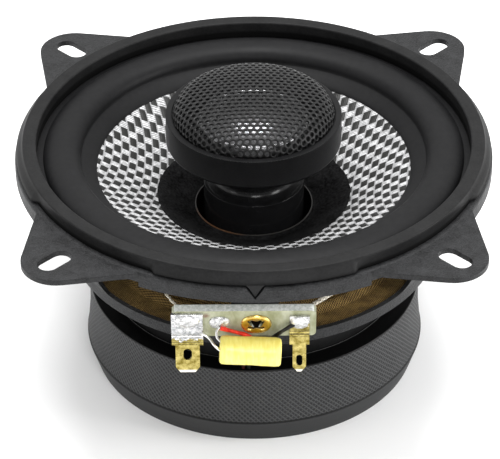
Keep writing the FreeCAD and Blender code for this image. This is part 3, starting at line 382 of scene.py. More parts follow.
def felt():
    made = Finish("felt", specular=0.03)
    made.grain((0.0015, 0.0015, 0.0015), (0.020, 0.020, 0.0205), 0.55, 0.0, (0.8, 0.95))
    made.bump(made.noise(0.45, detail=4.0), 0.16, 0.9)
    return made.material


def coil_film():
    """Amber film, painted near-black as shade except on one side, where its own amber shows; its cut rim is painted in
    lighter tones, grey on the shaded side and orange on the lit one.
    """
    made = Finish("coil_film", rough=0.3, specular=0.2)
    x, y, z = made.axes()
    lean = made.math("ADD", made.math("ADD", x, y), made.math("MULTIPLY", made.noise(2.2), 5.0))
    # painted light and shade: amber only on the side towards the light, near-black elsewhere
    lit_side = made.spread(lean, -11.0, -17.0)
    film = made.mix(lit_side, (0.004, 0.003, 0.003), (0.16, 0.045, 0.012))
    rim = made.mix(lit_side, (0.045, 0.043, 0.04), (0.17, 0.075, 0.03))
    made.colour(made.mix(made.spread(z, 36.95, 37.15), film, rim))
    made.bump(made.noise(1.2), 0.02, 0.4)
    return made.material


def board_laminate():
    """Cut laminate: greyish green face, whitish sawn edges and a flux stain by the joint."""
    made = Finish("board_laminate", specular=0.3)
    made.round_edges(0.18)
    geometry = made.add("ShaderNodeNewGeometry")
    facing = made.add("ShaderNodeSeparateXYZ", Vector=geometry.outputs["True Normal"])
    top = made.math("GREATER_THAN", facing.outputs[2], 0.75)
    x, _, z = made.axes()
    streak = made.add("ShaderNodeMapping", Vector=made.place)
    streak.inputs["Scale"].default_value = (0.5, 0.5, 0.12)
    pale = made.noise(1.1, vector=streak.outputs[0])
    face = made.mix(made.spread(pale, 0.35, 0.7), (0.24, 0.25, 0.14), (0.46, 0.47, 0.35))
    spot = made.math("SQRT", made.math("ADD",
                     made.math("POWER", made.math("ABSOLUTE", made.math("ADD", x, 10.0)), 2.0),
                     made.math("POWER", made.math("ABSOLUTE", made.math("SUBTRACT", z, 39.9)), 2.0)))
    stain = made.math("MULTIPLY", made.spread(made.math("ADD", spot, made.noise(0.8)), 1.5, 0.7), 0.8)
    face = made.mix(stain, face, (0.17, 0.07, 0.045))
    sawn = made.mix(made.spread(made.noise(0.7), 0.35, 0.65), (0.62, 0.66, 0.60), (0.96, 0.98, 0.94))
    made.colour(made.mix(top, face, sawn))
    made.roughness(made.spread(pale, 0.2, 0.8, 0.35, 0.6))
    made.bump(made.noise(0.4), 0.04, 0.6)
    return made.material


def tab_metal(name, solder_foot, dull, ribs):
    """Plated brass, tinned white above a ragged line, with a painted highlight on its tip."""
    made = Finish(name, metallic=1.0, rough=0.3)
    made.round_edges(0.14)
    z = made.axes()[2]
    ragged = made.math("ADD", z, made.math("MULTIPLY", made.math("SUBTRACT", made.noise(1.6), 0.5), 3.4))
    tinned = made.spread(ragged, solder_foot - 0.12, solder_foot + 0.12)
    brass = made.mix(made.spread(made.noise(1.3), 0.35, 0.65), (0.17, 0.13, 0.022), (0.50, 0.42, 0.15))
    # painted highlight: the chamfered tip, below 24.9 mm, is drawn near-white
    tip_highlight = made.spread(z, 24.9, 24.5)
    brass = made.mix(tip_highlight, brass, (0.86, 0.83, 0.74))
    solder = made.mix(made.spread(made.noise(0.8), 0.38, 0.62), dull, (0.86, 0.86, 0.87))
    speck = made.spread(made.noise(0.55, detail=2.0), 0.33, 0.27)
    solder = made.mix(speck, solder, (0.06, 0.055, 0.05))
    made.colour(made.mix(tinned, brass, solder))
    made.roughness(made.spread(made.noise(1.0), 0.3, 0.7, 0.18, 0.42))
    wave = made.math("SINE", made.math("MULTIPLY", z, 2 * math.pi / 1.1))
    zone = made.math("MULTIPLY", made.math("GREATER_THAN", z, ribs[0]), made.math("LESS_THAN", z, ribs[1]))
    made.bump(made.math("MULTIPLY", wave, zone), 0.10, 0.7)
    made.bump(made.noise(0.8), 0.05, 0.5)
    return made.material


def sleeve():
    """Yellow film with faint wrinkles round it."""
    made = Finish("capacitor_sleeve", specular=0.5, coat=0.2)
    stretch = made.add("ShaderNodeMapping", Vector=made.place)
    stretch.inputs["Scale"].default_value = (2.4, 0.5, 0.5)
    wrinkle = made.noise(1.6, vector=stretch.outputs[0])
    made.colour(made.mix(made.spread(wrinkle, 0.3, 0.7), (0.86, 0.72, 0.12), (0.97, 0.86, 0.27)))
    made.roughness(made.spread(wrinkle, 0.3, 0.7, 0.3, 0.45))
    made.bump(wrinkle, 0.06, 0.6)
    return made.material


def red_sleeve():
    """Red insulation, painted near-black as shade where it goes down into the boot."""
    made = Finish("red_insulation", specular=0.3)
    height = made.axes()[2]
    red = made.mix(made.spread(made.noise(0.8), 0.35, 0.65), (0.55, 0.014, 0.006), (0.85, 0.05, 0.02))
    # painted shade: the red turns near-black from 32.5 mm down to 29 mm
    made.colour(made.mix(made.spread(height, 32.5, 29.0), red, (0.020, 0.001, 0.001)))
    made.roughness(made.spread(made.noise(7.0), 0.3, 0.7, 0.3, 0.4))
    return made.material


def twisted(name, dark, light):
    """Fine braid seen on the strands themselves."""
    made = Finish(name, rough=0.45, metallic=0.35)
    made.colour(made.mix(made.spread(made.noise(0.5), 0.35, 0.65), dark, light))
    made.bump(made.noise(0.3), 0.03, 0.7)
    return made.material


def turned_metal(name, dark, light, rough=(0.25, 0.4), edge=0.15):
    """Bare metal with fine rings round the speaker's axis."""
    made = Finish(name, metallic=1.0)
    made.round_edges(edge)
    x, y, z = made.axes()
    radius = made.radius(x, y)
    rings = made.noise(0.35, vector=made.add("ShaderNodeCombineXYZ", X=radius, Y=z).outputs[0])
    made.colour(made.mix(made.spread(rings, 0.35, 0.65), dark, light))
    made.roughness(made.spread(made.noise(5.0), 0.3, 0.7, rough[0], rough[1]))
    made.bump(rings, 0.01, 0.5)
    return made.material


# ---------------------------------------------------------------------------
# Mesh helpers
# ---------------------------------------------------------------------------
def piece(name, points, faces, material, body, stands_for=(), slot=None, crease=35, ride=True):
    """A mesh from unclocked millimetres, riding on a body and standing for CAD nodes."""
    turn = Matrix.Rotation(CLOCK, 3, "Z")
    mesh = bpy.data.meshes.new(name)
    mesh.from_pydata([turn @ Vector(p) * MM for p in points], [], [tuple(f) for f in faces])
    work = bmesh.new()
    work.from_mesh(mesh)
    bmesh.ops.remove_doubles(work, verts=work.verts, dist=1e-6)
    bmesh.ops.recalc_face_normals(work, faces=work.faces)
    work.to_mesh(mesh)
    work.free()
    mesh.shade_smooth()
    mesh.set_sharp_from_angle(angle=math.radians(crease))
    mesh.materials.append(material)
    made = bpy.data.objects.new(name, mesh)
    bpy.context.scene.collection.objects.link(made)
    if ride:
        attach(made, body)
    if stands_for:
        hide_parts(*stands_for)
    return made


def rounded(profile, steps=5):
    """A closed outline of (r, z[, corner radius]) with its corners rounded."""
    out = []
    count = len(profile)
    for index, point in enumerate(profile):
        here = Vector(point[:2])
        radius = point[2] if len(point) > 2 else 0.0
        before = Vector(profile[index - 1][:2]) - here
        after = Vector(profile[(index + 1) % count][:2]) - here
        if radius <= 0 or before.length < 1e-6 or after.length < 1e-6:
            out.append(here)
            continue
        angle = before.angle(after)
        trim = min(radius / math.tan(angle / 2), before.length * 0.48, after.length * 0.48)
        first = here + before.normalized() * trim
        last = here + after.normalized() * trim
        for step in range(steps + 1):
            t = step / steps
            out.append(first * (1 - t) ** 2 + here * 2 * t * (1 - t) + last * t * t)
    return out


def ring_faces(rings, steps, closed=False, flipped=False):
    """Quads between neighbouring rings of points; closed joins the last ring to the first as well."""
    faces = []
    for ring in range(rings if closed else rings - 1):
        low, high = ring * steps, (ring + 1) % rings * steps
        for step in range(steps):
            nxt = (step + 1) % steps
            a, b, c, d = low + step, low + nxt, high + nxt, high + step
            faces.append((a, d, c, b) if flipped else (a, b, c, d))
    return faces


def capped(rings, steps):
    """The same for a tube with closed ends."""
    return ring_faces(rings, steps) + [tuple(range(steps)), tuple(range((rings - 1) * steps, rings * steps))]


def lathe_mesh(outline, steps, shape=None):
    """Points and faces of an outline turned about Z. shape(r, z, angle) may move each point."""
    points = []
    for ring in range(steps):
        angle = 2 * math.pi * ring / steps
        for r, z in outline:
            if shape:
                r, z = shape(r, z, angle)
            points.append((r * math.cos(angle), r * math.sin(angle), z))
    return points, ring_faces(steps, len(outline), closed=True, flipped=True)


def turned(name, outline, material, body, steps=240, shape=None, **more):
    points, faces = lathe_mesh(outline, steps, shape)
    return piece(name, points, faces, material, body, **more)


def arc(centre, radius, start, end, steps):
    """Points on a circle in the (r, z) plane, from one angle in degrees to another."""
    out = []
    for step in range(steps + 1):
        angle = math.radians(start + (end - start) * step / steps)
        out.append((centre[0] + radius * math.cos(angle), centre[1] + radius * math.sin(angle)))
    return out


def cone_height(radius):
    return CONE_FOOT + (radius - CONE_BORE) * CONE_RISE


def smooth_path(points, per_run=10):
    """Points read from the NURBS spline that these control points give."""
    curve = bpy.data.curves.new("route", "CURVE")
    curve.dimensions = "3D"
    spline = curve.splines.new("NURBS")
    spline.points.add(len(points) - 1)
    for target, point in zip(spline.points, points):
        target.co = (*point, 1)
    spline.order_u = 3
    spline.use_endpoint_u = True
    spline.resolution_u = per_run
    holder = bpy.data.objects.new("route", curve)
    bpy.context.scene.collection.objects.link(holder)
    bpy.context.view_layer.update()
    mesh = bpy.data.meshes.new_from_object(holder.evaluated_get(bpy.context.evaluated_depsgraph_get()))
    path = [v.co.copy() for v in mesh.vertices]
    bpy.data.objects.remove(holder)
    bpy.data.meshes.remove(mesh)
    bpy.data.curves.remove(curve)
    return path


def frames_along(path):
    """A twist-free frame and the travelled length at each point of a path."""
    frames, side, travelled = [], None, 0.0
    for index, point in enumerate(path):
        ahead = path[min(index + 1, len(path) - 1)] - path[max(index - 1, 0)]
        ahead.normalize()
        if side is None:
            side = ahead.orthogonal().normalized()
        side = (side - ahead * side.dot(ahead)).normalized()
        if index:
            travelled += (point - path[index - 1]).length
        frames.append((point, ahead, side, ahead.cross(side), travelled))
    return frames


def tube_mesh(path, radius, sides=10, swell=None):
    """A round tube along a path with closed ends. swell(length, angle) scales its radius."""
    points = []
    for point, _, side, up, travelled in frames_along(path):
        for corner in range(sides):
            angle = 2 * math.pi * corner / sides
            size = radius * (swell(travelled, angle) if swell else 1.0)
            points.append(point + (side * math.cos(angle) + up * math.sin(angle)) * size)
    return points, capped(len(path), sides)


def joined(parts):
    """Several (points, faces) as one."""
    points, faces = [], []
    for some_points, some_faces in parts:
        start = len(points)
        points.extend(some_points)
        faces.extend(tuple(start + i for i in f) for f in some_faces)
    return points, faces


def stretch(made, share, mover="cone_assembly"):
    """Bake a piece's placement into its mesh and work out a share from 0 to 1 for each point, from its unclocked
    place; nothing applies the shares.
    """
    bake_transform(made)
    turn = Matrix.Rotation(-CLOCK, 3, "Z")
    weights = [max(0.0, min(1.0, share(turn @ v.co / MM))) for v in made.data.vertices]


def eased(value, start, end):
    """0 at start, 1 at end, smooth between."""
    t = max(0.0, min(1.0, (value - start) / (end - start)))
    return t * t * (3 - 2 * t)


def board_point(x, y, z):
    lean = Matrix.Rotation(math.pi / 2 + BOARD_LEAN, 3, "X")
    return BOARD_SEAT + lean @ Vector((x, y, z))


# ---------------------------------------------------------------------------
# Front: gasket, surround, cone
# ---------------------------------------------------------------------------
def make_gasket(material, tooth_material):
    """Ring with a skirt down to the rim between each pair of ears, and a tooth in the front one."""
    outline = rounded([
        (46.31, 50.62, 0.2), (49.2, 50.62), (49.35, 51.45), (49.35, 51.7), (49.35, 51.95), (49.35, 52.3),
        (49.35, 52.8), (49.35, 53.3), (49.35, 53.7, 0.2), (49.3, 54.39, 0.55), (46.31, 54.39, 0.5),
    ])

    def shape(r, z, angle):
        quarter = (angle + math.pi / 4) % (math.pi / 2) - math.pi / 4
        reach = 1 - eased(abs(math.degrees(quarter)), 23.2, 25.8)
        if r > 49.0 and z > 51.0:
            bulge = 1.35 * (1 - eased(z, 52.1, 54.3)) * eased(z, 51.35, 52.0)
            r += reach * bulge
        return r, z

    turned("gasket_ring", outline, material, "chassis", 720, shape,
           stands_for=["gasket"], slot="gasket_rubber", crease=50)
    flank = [(2.3, 52.3), (1.85, 51.9), (1.38, 51.45), (1.02, 50.9), (0.72, 50.35), (0.44, 49.85), (0.2, 49.45),
             (0.06, 49.25)]
    outline = [(-x, z) for x, z in flank] + [(x, z) for x, z in reversed(flank)]
    count = len(outline)
    tooth = [(x, -49.5, z) for x, z in outline] + [(x, -50.72 + 0.1 * eased(z, 51, 52.3), z) for x, z in outline]
    faces = [tuple(range(count)), tuple(reversed(range(count, 2 * count)))]
    faces += [(i, (i + 1) % count, count + (i + 1) % count, count + i) for i in range(count)]
    piece("gasket_tooth", tooth, faces, tooth_material, "chassis", slot="gasket_rubber")


def make_surround(material):
    """Half roll between two flat feet."""
    wall = 0.55
    inner = cone_height(CONE_RIM) + wall
    top = [(33.6, cone_height(33.6) + 0.14), (33.75, cone_height(33.75) + 0.3), (34.1, cone_height(34.1) + 0.42)]
    top += [(34.8, cone_height(34.8) + 0.5), (36.0, cone_height(36.0) + wall), (36.8, inner - 0.12)]
    crest = 52.5
    for step in range(25):
        t = step / 24
        angle = math.pi * (1 - t)
        r = 41.05 + (4.1 if angle > math.pi / 2 else 3.9) * math.cos(angle)
        foot = inner + (50.55 - inner) * t
        z = foot + (crest - foot) * math.sin(angle) ** 0.85
        top.append((r, z))
    top += [(45.25, 50.52), (46.0, 50.55), (47.6, 50.55), (49.3, 50.55)]
    low = []
    for index, (r, z) in enumerate(top):
        before = Vector(top[max(index - 1, 0)])
        after = Vector(top[min(index + 1, len(top) - 1)])
        ahead = (after - before).normalized()
        low.append((r + ahead.y * wall * 0.9, z - ahead.x * wall * 0.9))
    low[-1] = (49.3, 50.0)
    made = turned("surround_roll", top + low[::-1], material, "chassis", 288,
                  stands_for=["surround"], slot="surround_rubber", ride=False, crease=50)
    stretch(made, lambda p: 1 - eased(math.hypot(p.x, p.y), CONE_RIM, 45.0))


def make_cone(material):
    """Pressed woven cone with the tows standing a little proud."""
    def relief(r, angle):
        u, v = cloth_turns(r * math.cos(angle), r * math.sin(angle))
        inside = abs(u - math.floor(u) - 0.5)
        row = (v + abs(math.floor(u)) % 2) / 2
        along = abs(row - math.floor(row) - 0.5)
        rise = 0.07 if inside < 0.42 and along < 0.295 else 0.10
        return rise * math.cos(math.pi * inside) * abs(math.cos(2 * math.pi * along))

    rings, steps = 46, 640
    points = []
    for ring in range(rings):
        r = WEAVE_START + (WEAVE_END - WEAVE_START) * ring / (rings - 1)
        for step in range(steps):
            angle = 2 * math.pi * step / steps
            lift = relief(r, angle) if 0 < ring < rings - 1 else 0.0
            points.append((r * math.cos(angle), r * math.sin(angle), cone_height(r) + lift - 0.03))
    piece("cone_weave", points, ring_faces(rings, steps), material, "cone_assembly", slot="woven_cone", crease=60)
    z, collar, collar_foot = cone_height, 13.28, cone_height(CONE_BORE) - 1.16
    edges = (WEAVE_START, WEAVE_END, CONE_RIM)
    back = [(CONE_BORE, z(CONE_BORE))] + [(r, z(r) - 0.03) for r in edges]
    back += [(r, z(r) - CONE_BACK) for r in (*reversed(edges), collar)]
    back += [(collar, collar_foot), (CONE_BORE, collar_foot)]
    turned("cone_shell", [(r, h - 0.04) for r, h in back], material, "cone_assembly", 240,
           stands_for=["cone"], slot="woven_cone")


def make_felt(material):
    """Thin felt ring with an uneven nap, turned up where it meets the former."""
    def shape(r, z, angle):
        if cone_height(r) + 0.15 < z < cone_height(r) + 0.5 and r > 13.4:
            z += 0.07 * perlin.noise(Vector((r * math.cos(angle), r * math.sin(angle), 3.0)) * 1.1)
        if r > 20.3:
            r += 0.16 * perlin.noise(Vector((math.cos(angle), math.sin(angle), 0)) * 14)
        return r, z

    outline = [(12.74, cone_height(12.74)), (20.6, cone_height(20.6) - 0.02), (20.8, cone_height(20.8) + 0.08)]
    for step in range(15):
        r = 20.7 - step * 0.5
        outline.append((r, cone_height(r) + (0.3 if step else 0.2)))
    outline += [(13.35, 36.8), (13.1, 37.15), (12.74, 37.25)]
    turned("felt_ring", outline, material, "cone_assembly", 360, shape,
           stands_for=["cone_damping_ring"], slot="felt")


def make_spider(material):
    """Corrugated cloth disc."""
    top = [(38.4, 29.75), (36.0, 29.75), (34.2, 29.8)]
    steps = 60
    for step in range(steps + 1):
        r = 34.0 - step * (34.0 - 16.0) / steps
        z = 29.75 + 0.75 * (1 - math.cos(2 * math.pi * (34.0 - r) / 3.6))
        top.append((r, z))
    top += [(14.6, 29.75), (13.6, 30.2), (12.72, 31.2)]
    outline = [(r, z + 0.35) for r, z in top] + [(r, z) for r, z in reversed(top)]
    made = turned("spider_cloth", outline, material, "chassis", 240,
                  stands_for=["spider"], slot="spider_cloth", ride=False, crease=70)
    stretch(made, lambda p: 1 - eased(math.hypot(p.x, p.y), 14.0, 34.0))


# ---------------------------------------------------------------------------
# Tweeter
# ---------------------------------------------------------------------------
def grille_surface(travel):
    """(r, z) at this distance from the crown, along the dome, over the shoulder and down the side."""
    shoulder, crown, brim = 14.8, 65.3, 63.6
    rise = crown - brim
    sphere = (shoulder * shoulder + rise * rise) / (2 * rise)
    bend_start = sphere * math.asin((shoulder - 1.0) / sphere)
    if travel < bend_start:
        angle = travel / sphere
        return sphere * math.sin(angle), crown - sphere * (1 - math.cos(angle))
    start = math.asin((shoulder - 1.0) / sphere)
    r, z = sphere * math.sin(start), crown - sphere * (1 - math.cos(start))
    left = travel - bend_start
    full = math.radians(86)
    bend = 4.4
    length = bend * (full - start)
    turn = start + min(left, length) / bend
    r += bend * (math.sin(turn) - math.sin(start))
    z -= bend * (math.cos(start) - math.cos(turn))
    beyond = max(0.0, left - length)
    return r + beyond * math.cos(full), z - beyond * math.sin(full)


def make_grille(material):
    """Perforated sheet, punched flat in a staggered grid and then pressed into a dome."""
    pitch, hole, sides = 1.50, 0.53, 12
    points, faces, shared = [], [], {}

    def corner(x, y):
        key = (round(x * 500), round(y * 500))
        if key not in shared:
            shared[key] = len(points)
            points.append((x, y))
        return shared[key]

    rows = 15
    edge, flat = pitch / math.sqrt(3), pitch / 2
    directions = [math.pi / 6 * k + math.pi / 6 for k in range(sides)]
    for row in range(-rows, rows + 1):
        for column in range(-rows, rows + 1):
            cx = (column + (row % 2) / 2) * pitch
            cy = row * pitch * math.sqrt(3) / 2
            if math.hypot(cx, cy) > 19.6:
                continue
            outer = []
            for k, angle in enumerate(directions):
                reach = flat if k % 2 else edge
                outer.append(corner(cx + reach * math.cos(angle), cy + reach * math.sin(angle)))
            start = len(points)
            points.extend((cx + hole * math.cos(angle), cy + hole * math.sin(angle)) for angle in directions)
            for k in range(sides):
                nxt = (k + 1) % sides
                faces.append((outer[k], outer[nxt], start + nxt, start + k))
    placed = []
    for x, y in points:
        travel = math.hypot(x, y)
        r, z = grille_surface(travel)
        share = r / travel if travel > 1e-6 else 1.0
        placed.append((x * share, y * share, z))
    made = piece("grille_sheet", placed, faces, material, "chassis",
                 stands_for=["tweeter_grille"], slot="grille_steel", crease=60)
    solid = made.modifiers.new("thickness", "SOLIDIFY")
    solid.thickness = 0.42 * MM
    solid.offset = -1


def make_dome(material):
    """Bright dome with its roll, over the coil."""
    outline = []
    span = math.radians(62)
    for step in range(19):
        angle = span * step / 18
        r = 10.3 * math.sin(angle) / math.sin(span)
        z = 58.6 + 3.5 * (math.cos(angle) - math.cos(span)) / (1 - math.cos(span))
        outline.append((max(r, 0.02), z))
    back = [(max(r - 0.05, 0.01), z - 0.2) for r, z in reversed(outline)]
    turned("dome_skin", outline + back, material, "tweeter_diaphragm", 96,
           stands_for=["tweeter_dome"], slot="dome_film")
    roll = [(10.28, 58.4)] + arc((11.1, 58.35), 0.8, 175, 5, 10) + [(12.2, 58.42), (13.4, 58.42), (13.4, 58.22)]
    roll += [(12.2, 58.22)] + arc((11.1, 58.2), 0.65, 5, 175, 8)
    made = turned("dome_roll", roll, material, "chassis", 96,
                  stands_for=["tweeter_surround"], slot="dome_film", ride=False)
    stretch(made, lambda p: 1 - eased(math.hypot(p.x, p.y), 10.3, 12.0), "tweeter_diaphragm")


# ---------------------------------------------------------------------------
# Boot
# ---------------------------------------------------------------------------
def make_boot(material):
    """Moulded rubber cover; a channel inside it lets the wires down."""
    outline = rounded([
        (20.0, 1.0, 0.2), (20.0, 0.0, 0.3), (35.3, 0.0, 0.35), (36.98, 5.15, 0.12), (36.8, 5.5, 0.1),
        (36.15, 12.0), (36.0, 19.0, 0.3), (31.9, 19.0, 0.12), (31.9, 18.22, 0.1), (34.1, 18.22), (34.1, 1.0),
    ], steps=4)

    def shape(r, z, angle):
        x = 34.6 * math.cos(angle) + 2.0
        if math.sin(angle) < 0 and abs(x) < 1.3 and 31.5 < r < 35.0 and z > 0.9:
            r = 35.25
        return r, z

    turned("boot_cover", outline, material, "chassis", 360, shape,
           stands_for=["magnet_boot"], slot="boot_rubber")


# ---------------------------------------------------------------------------
# Terminals
# ---------------------------------------------------------------------------
def on_board(points):
    """Points of the board's own frame in the unclocked drawing."""
    return [board_point(*p) for p in points]


def make_eyelet(material, shade_lining):
    """Flared brass eyelet whose mouth has split into four points, round a throat lined with a dark sheet as painted
    shade.
    """
    steps = 64

    def loop(radius, height, star=0.0):
        out = []
        for step in range(steps):
            angle = 2 * math.pi * step / steps
            r = radius + star * abs(math.sin(2 * angle)) ** 2.6
            out.append((0.2 + r * math.cos(angle) * 1.11, r * math.sin(angle) * 1.055, height))
        return out

    loops = [
        loop(2.84, 1.72), loop(2.86, 1.95), loop(2.7, 2.2), loop(2.35, 2.32), loop(2.1, 2.26),
        loop(1.42, 2.16, 0.66), loop(1.22, 2.1, 0.8), loop(1.16, 1.85, 0.76), loop(0.95, 1.0, 0.4),
        loop(0.95, -1.4), loop(1.34, -1.4), loop(1.34, 1.72),
    ]

    def skin(rings, closed=True):
        return [p for ring in rings for p in on_board(ring)], ring_faces(len(rings), steps, closed)

    points, faces = skin(loops)
    piece("board_eyelet", points, faces, material, "chassis", stands_for=["board_rivet"], slot="brass_parts")
    # painted shade: a dark lining inside the throat, where only shade would be
    inner = [loop(1.17, 1.92, 0.76), loop(0.9, 1.0, 0.38), loop(0.9, -1.2), loop(0.02, -1.2)]
    points, faces = skin(inner, closed=False)
    piece("eyelet_shade_lining", points, faces, shade_lining, "chassis", slot="brass_parts")


def make_solder(material):
    """Three cold, lumpy joints."""
    blobs = []
    for seed, (x, y, base, wide, high, rise) in enumerate((
        (-13.95, 1.5, 2.2, 2.6, 2.0, 0.6), (-7.3, 0.6, 1.7, 2.2, 1.9, 0.9), (9.1, 1.1, 2.2, 1.9, 2.0, 0.8),
    )):
        points = []
        rings, steps = 12, 36
        for ring in range(rings + 1):
            share = ring / rings
            for step in range(steps):
                angle = 2 * math.pi * step / steps
                lump = 1 + 0.13 * perlin.noise(Vector((math.cos(angle) * 2, math.sin(angle) * 2, seed * 5.0)))
                r = math.sin(share * math.pi / 2)
                z = rise * math.cos(share * math.pi / 2) ** 0.8
                dent = Vector((r * math.cos(angle) * 2.2, r * math.sin(angle) * 2.2, seed * 3.0 + 1))
                z *= 1 + 0.25 * perlin.noise(dent)
                points.append((x + wide * r * lump * math.cos(angle), y + high * r * lump * math.sin(angle), base + z))
        faces = ring_faces(rings + 1, steps, flipped=True)
        faces.append(tuple(rings * steps + s for s in range(steps)))
        blobs.append((on_board(points), faces))
    points, faces = joined(blobs)
    piece("solder_lumps", points, faces, material, "chassis", stands_for=["solder_joints"], slot="solder", crease=70)


def make_capacitor(material):
    """Film capacitor in a shrunk sleeve, its ends drawn in. Gives back its left end."""
    half = 6.3
    lean = math.radians(3.4)
    middle = Vector((-1.0, -46.8, 32.6))
    along = Vector((math.cos(lean), 0, -math.sin(lean)))
    up = Vector((math.sin(lean), 0, math.cos(lean)))
    out = Vector((0, -1, 0))
    profile = [(-half + 0.25, 0.05), (-half + 0.22, 1.6), (-half + 0.05, 2.0), (-half, 2.35), (-half + 0.12, 2.72),
               (-half + 0.5, 2.95), (-half + 1.4, 3.0), (-2.2, 2.97), (0.0, 2.98), (2.2, 2.99), (half - 1.2, 3.0),
               (half - 0.45, 2.93), (half - 0.08, 2.66), (half, 2.3), (half - 0.06, 1.9), (half - 0.24, 1.5),
               (half - 0.26, 0.05)]
    steps = 64
    points = []
    for s, r in profile:
        for step in range(steps):
            angle = 2 * math.pi * step / steps
            wave = 0.05 * perlin.noise(Vector((math.cos(angle) * 1.8, math.sin(angle) * 1.8, s * 0.9)))
            size = r * (1 + wave) if r > 0.5 else r
            points.append(middle + along * (s + wave * 1.2) + (up * math.cos(angle) + out * math.sin(angle)) * size)
    piece("capacitor_body", points, capped(len(profile), steps), material, "chassis",
          stands_for=["capacitor"], slot="capacitor_sleeve")
    return middle - along * half


def make_leads(material, end):
    """The capacitor's two tinned leads."""
    to_tab = [board_point(-11.0, -2.2, 2.55), board_point(-9.4, -3.1, 2.9), end + Vector((-1.2, 0.3, 0.7)),
              end + Vector((0.3, 0.2, -0.6))]
    to_joint = [board_point(-7.3, 0.0, 2.6), end + Vector((-0.5, 1.95, 3.6)), end + Vector((-0.65, 1.6, 2.75)),
                end + Vector((-0.5, 1.0, 2.05)), end + Vector((0.3, 0.5, 1.6))]
    points, faces = joined([tube_mesh(smooth_path(p), 0.27) for p in (to_tab, to_joint)])
    piece("tinned_leads", points, faces, material, "chassis", stands_for=["capacitor_leads"], slot="tinned_wire")


def make_wires(red, black):
    """Two insulated wires, along the same routes as the CAD tubes."""
    height = EAR_TOP
    starts = {
        -1: [board_point(-7.2, -0.3, 2.6), board_point(-4.4, -1.4, 2.75), board_point(-1.2, -3.0, 2.6),
             Vector((-0.7, -43.1, height - 18.9)), Vector((-1.4, -41.3, height - 22.6)),
             Vector((-2.2, -38.8, height - 26.6))],
        1: [board_point(7.9, 0.8, 2.6), board_point(6.0, -0.7, 2.8), board_point(4.1, -3.3, 2.55),
            Vector((2.6, -43.1, height - 18.9)), Vector((1.0, -41.3, height - 22.6)),
            Vector((-0.4, -38.8, height - 26.6))],
    }
    for side, name, material in ((-1, "red", red), (1, "black", black)):
        place, bore = -2.0 + 0.5 * side, 0.55 * side
        wall = -math.sqrt(34.65 ** 2 - place * place)
        under, inside = 1.58, 53.0
        route = starts[side] + [
            Vector((place, wall, 21.2)), Vector((place, wall, under + 4)), Vector((place, wall, under)),
            Vector((place, wall + 4, under)), Vector((place, -7, under)), Vector((bore, -2.4, under)),
            Vector((bore, 0, under)), Vector((bore, 0, under + 4)), Vector((bore, 0, inside - 3)),
            Vector((bore, 0, inside)), Vector((bore + 3 * side, 0, inside)), Vector((14.2 * side, 0, inside)),
        ]

        def ribbed(travelled, angle):
            return 1 + 0.10 * math.cos(2 * (angle - travelled * 0.5))

        points, faces = tube_mesh(smooth_path(route), 0.43, 10, ribbed)
        piece("wire_" + name, points, faces, material, "chassis",
              stands_for=["tweeter_wire_" + name], slot=name + "_insulation")


def eyelet_foot(side):
    """Where a tinsel lead enters the eyelet under the cone."""
    x, y = 12.55, -15.6
    return Vector((x * side, y, cone_height(math.hypot(x, y) - 0.9) - CONE_BACK - 1.25))


def make_tinsel(material):
    """Braided leads that stretch from the board on the chassis to the cone."""
    height = EAR_TOP
    left_end, right_end = eyelet_foot(-1), eyelet_foot(1)
    drop = Vector((0, 0, 3.4))
    routes = {
        "left": [Vector((-15.6, -42.1, height - 11.2)), Vector((-17.1, -40.9, height - 10.1)),
                 Vector((-19.3, -37.3, height - 9.2)), Vector((-20.0, -32.0, height - 10.4)),
                 Vector((-18.4, -25.6, height - 13.4)), Vector((-15.4, -19.6, height - 16.2)),
                 left_end - drop, left_end],
        "right": [Vector((10.8, -41.95, height - 11.6)), Vector((12.5, -41.0, height - 10.6)),
                  Vector((16.6, -37.4, height - 10.6)), Vector((19.2, -31.8, height - 11.4)),
                  Vector((18.0, -25.4, height - 13.7)), Vector((15.3, -19.6, height - 16.2)),
                  right_end - drop, right_end],
    }
    # strands, their distance from the middle, their radius, and the length of one turn
    braids = {"left": (3, 0.20, 0.11, 2.6), "right": (6, 0.33, 0.14, 3.2)}
    for name, route in routes.items():
        count, wrap, thread, turn = braids[name]
        frames = frames_along(smooth_path(route, per_run=26))
        strands = []
        for strand in range(count):
            way = 1 if strand % 2 or count < 6 else -1
            phase = 2 * math.pi * strand / count
            line = []
            for point, _, side, up, travelled in frames:
                angle = phase + way * travelled * 2 * math.pi / turn
                reach = wrap + 0.06 * math.sin(travelled * 2 * math.pi / 1.07 + phase)
                line.append(point + (side * math.cos(angle) + up * math.sin(angle)) * reach)
            strands.append(tube_mesh(line, thread, 6))
        points, faces = joined(strands)
        made = piece("tinsel_" + name, points, faces, material, "chassis",
                     stands_for=["tinsel_lead_" + name], slot="tinsel_braid", ride=False)
        length = frames[-1][4]
        line = [(f[0], f[4] / length) for f in frames]
        stretch(made, lambda p, line=line: eased(min(line, key=lambda q: (q[0] - p).length_squared)[1], 0.12, 0.97))


# ---------------------------------------------------------------------------
# The whole
# ---------------------------------------------------------------------------
def paint(node, material):
    """Give a CAD node its material."""
    mesh = nodes[node].data
    mesh.materials.clear()
    mesh.materials.append(material)


make_camera()
make_studio()

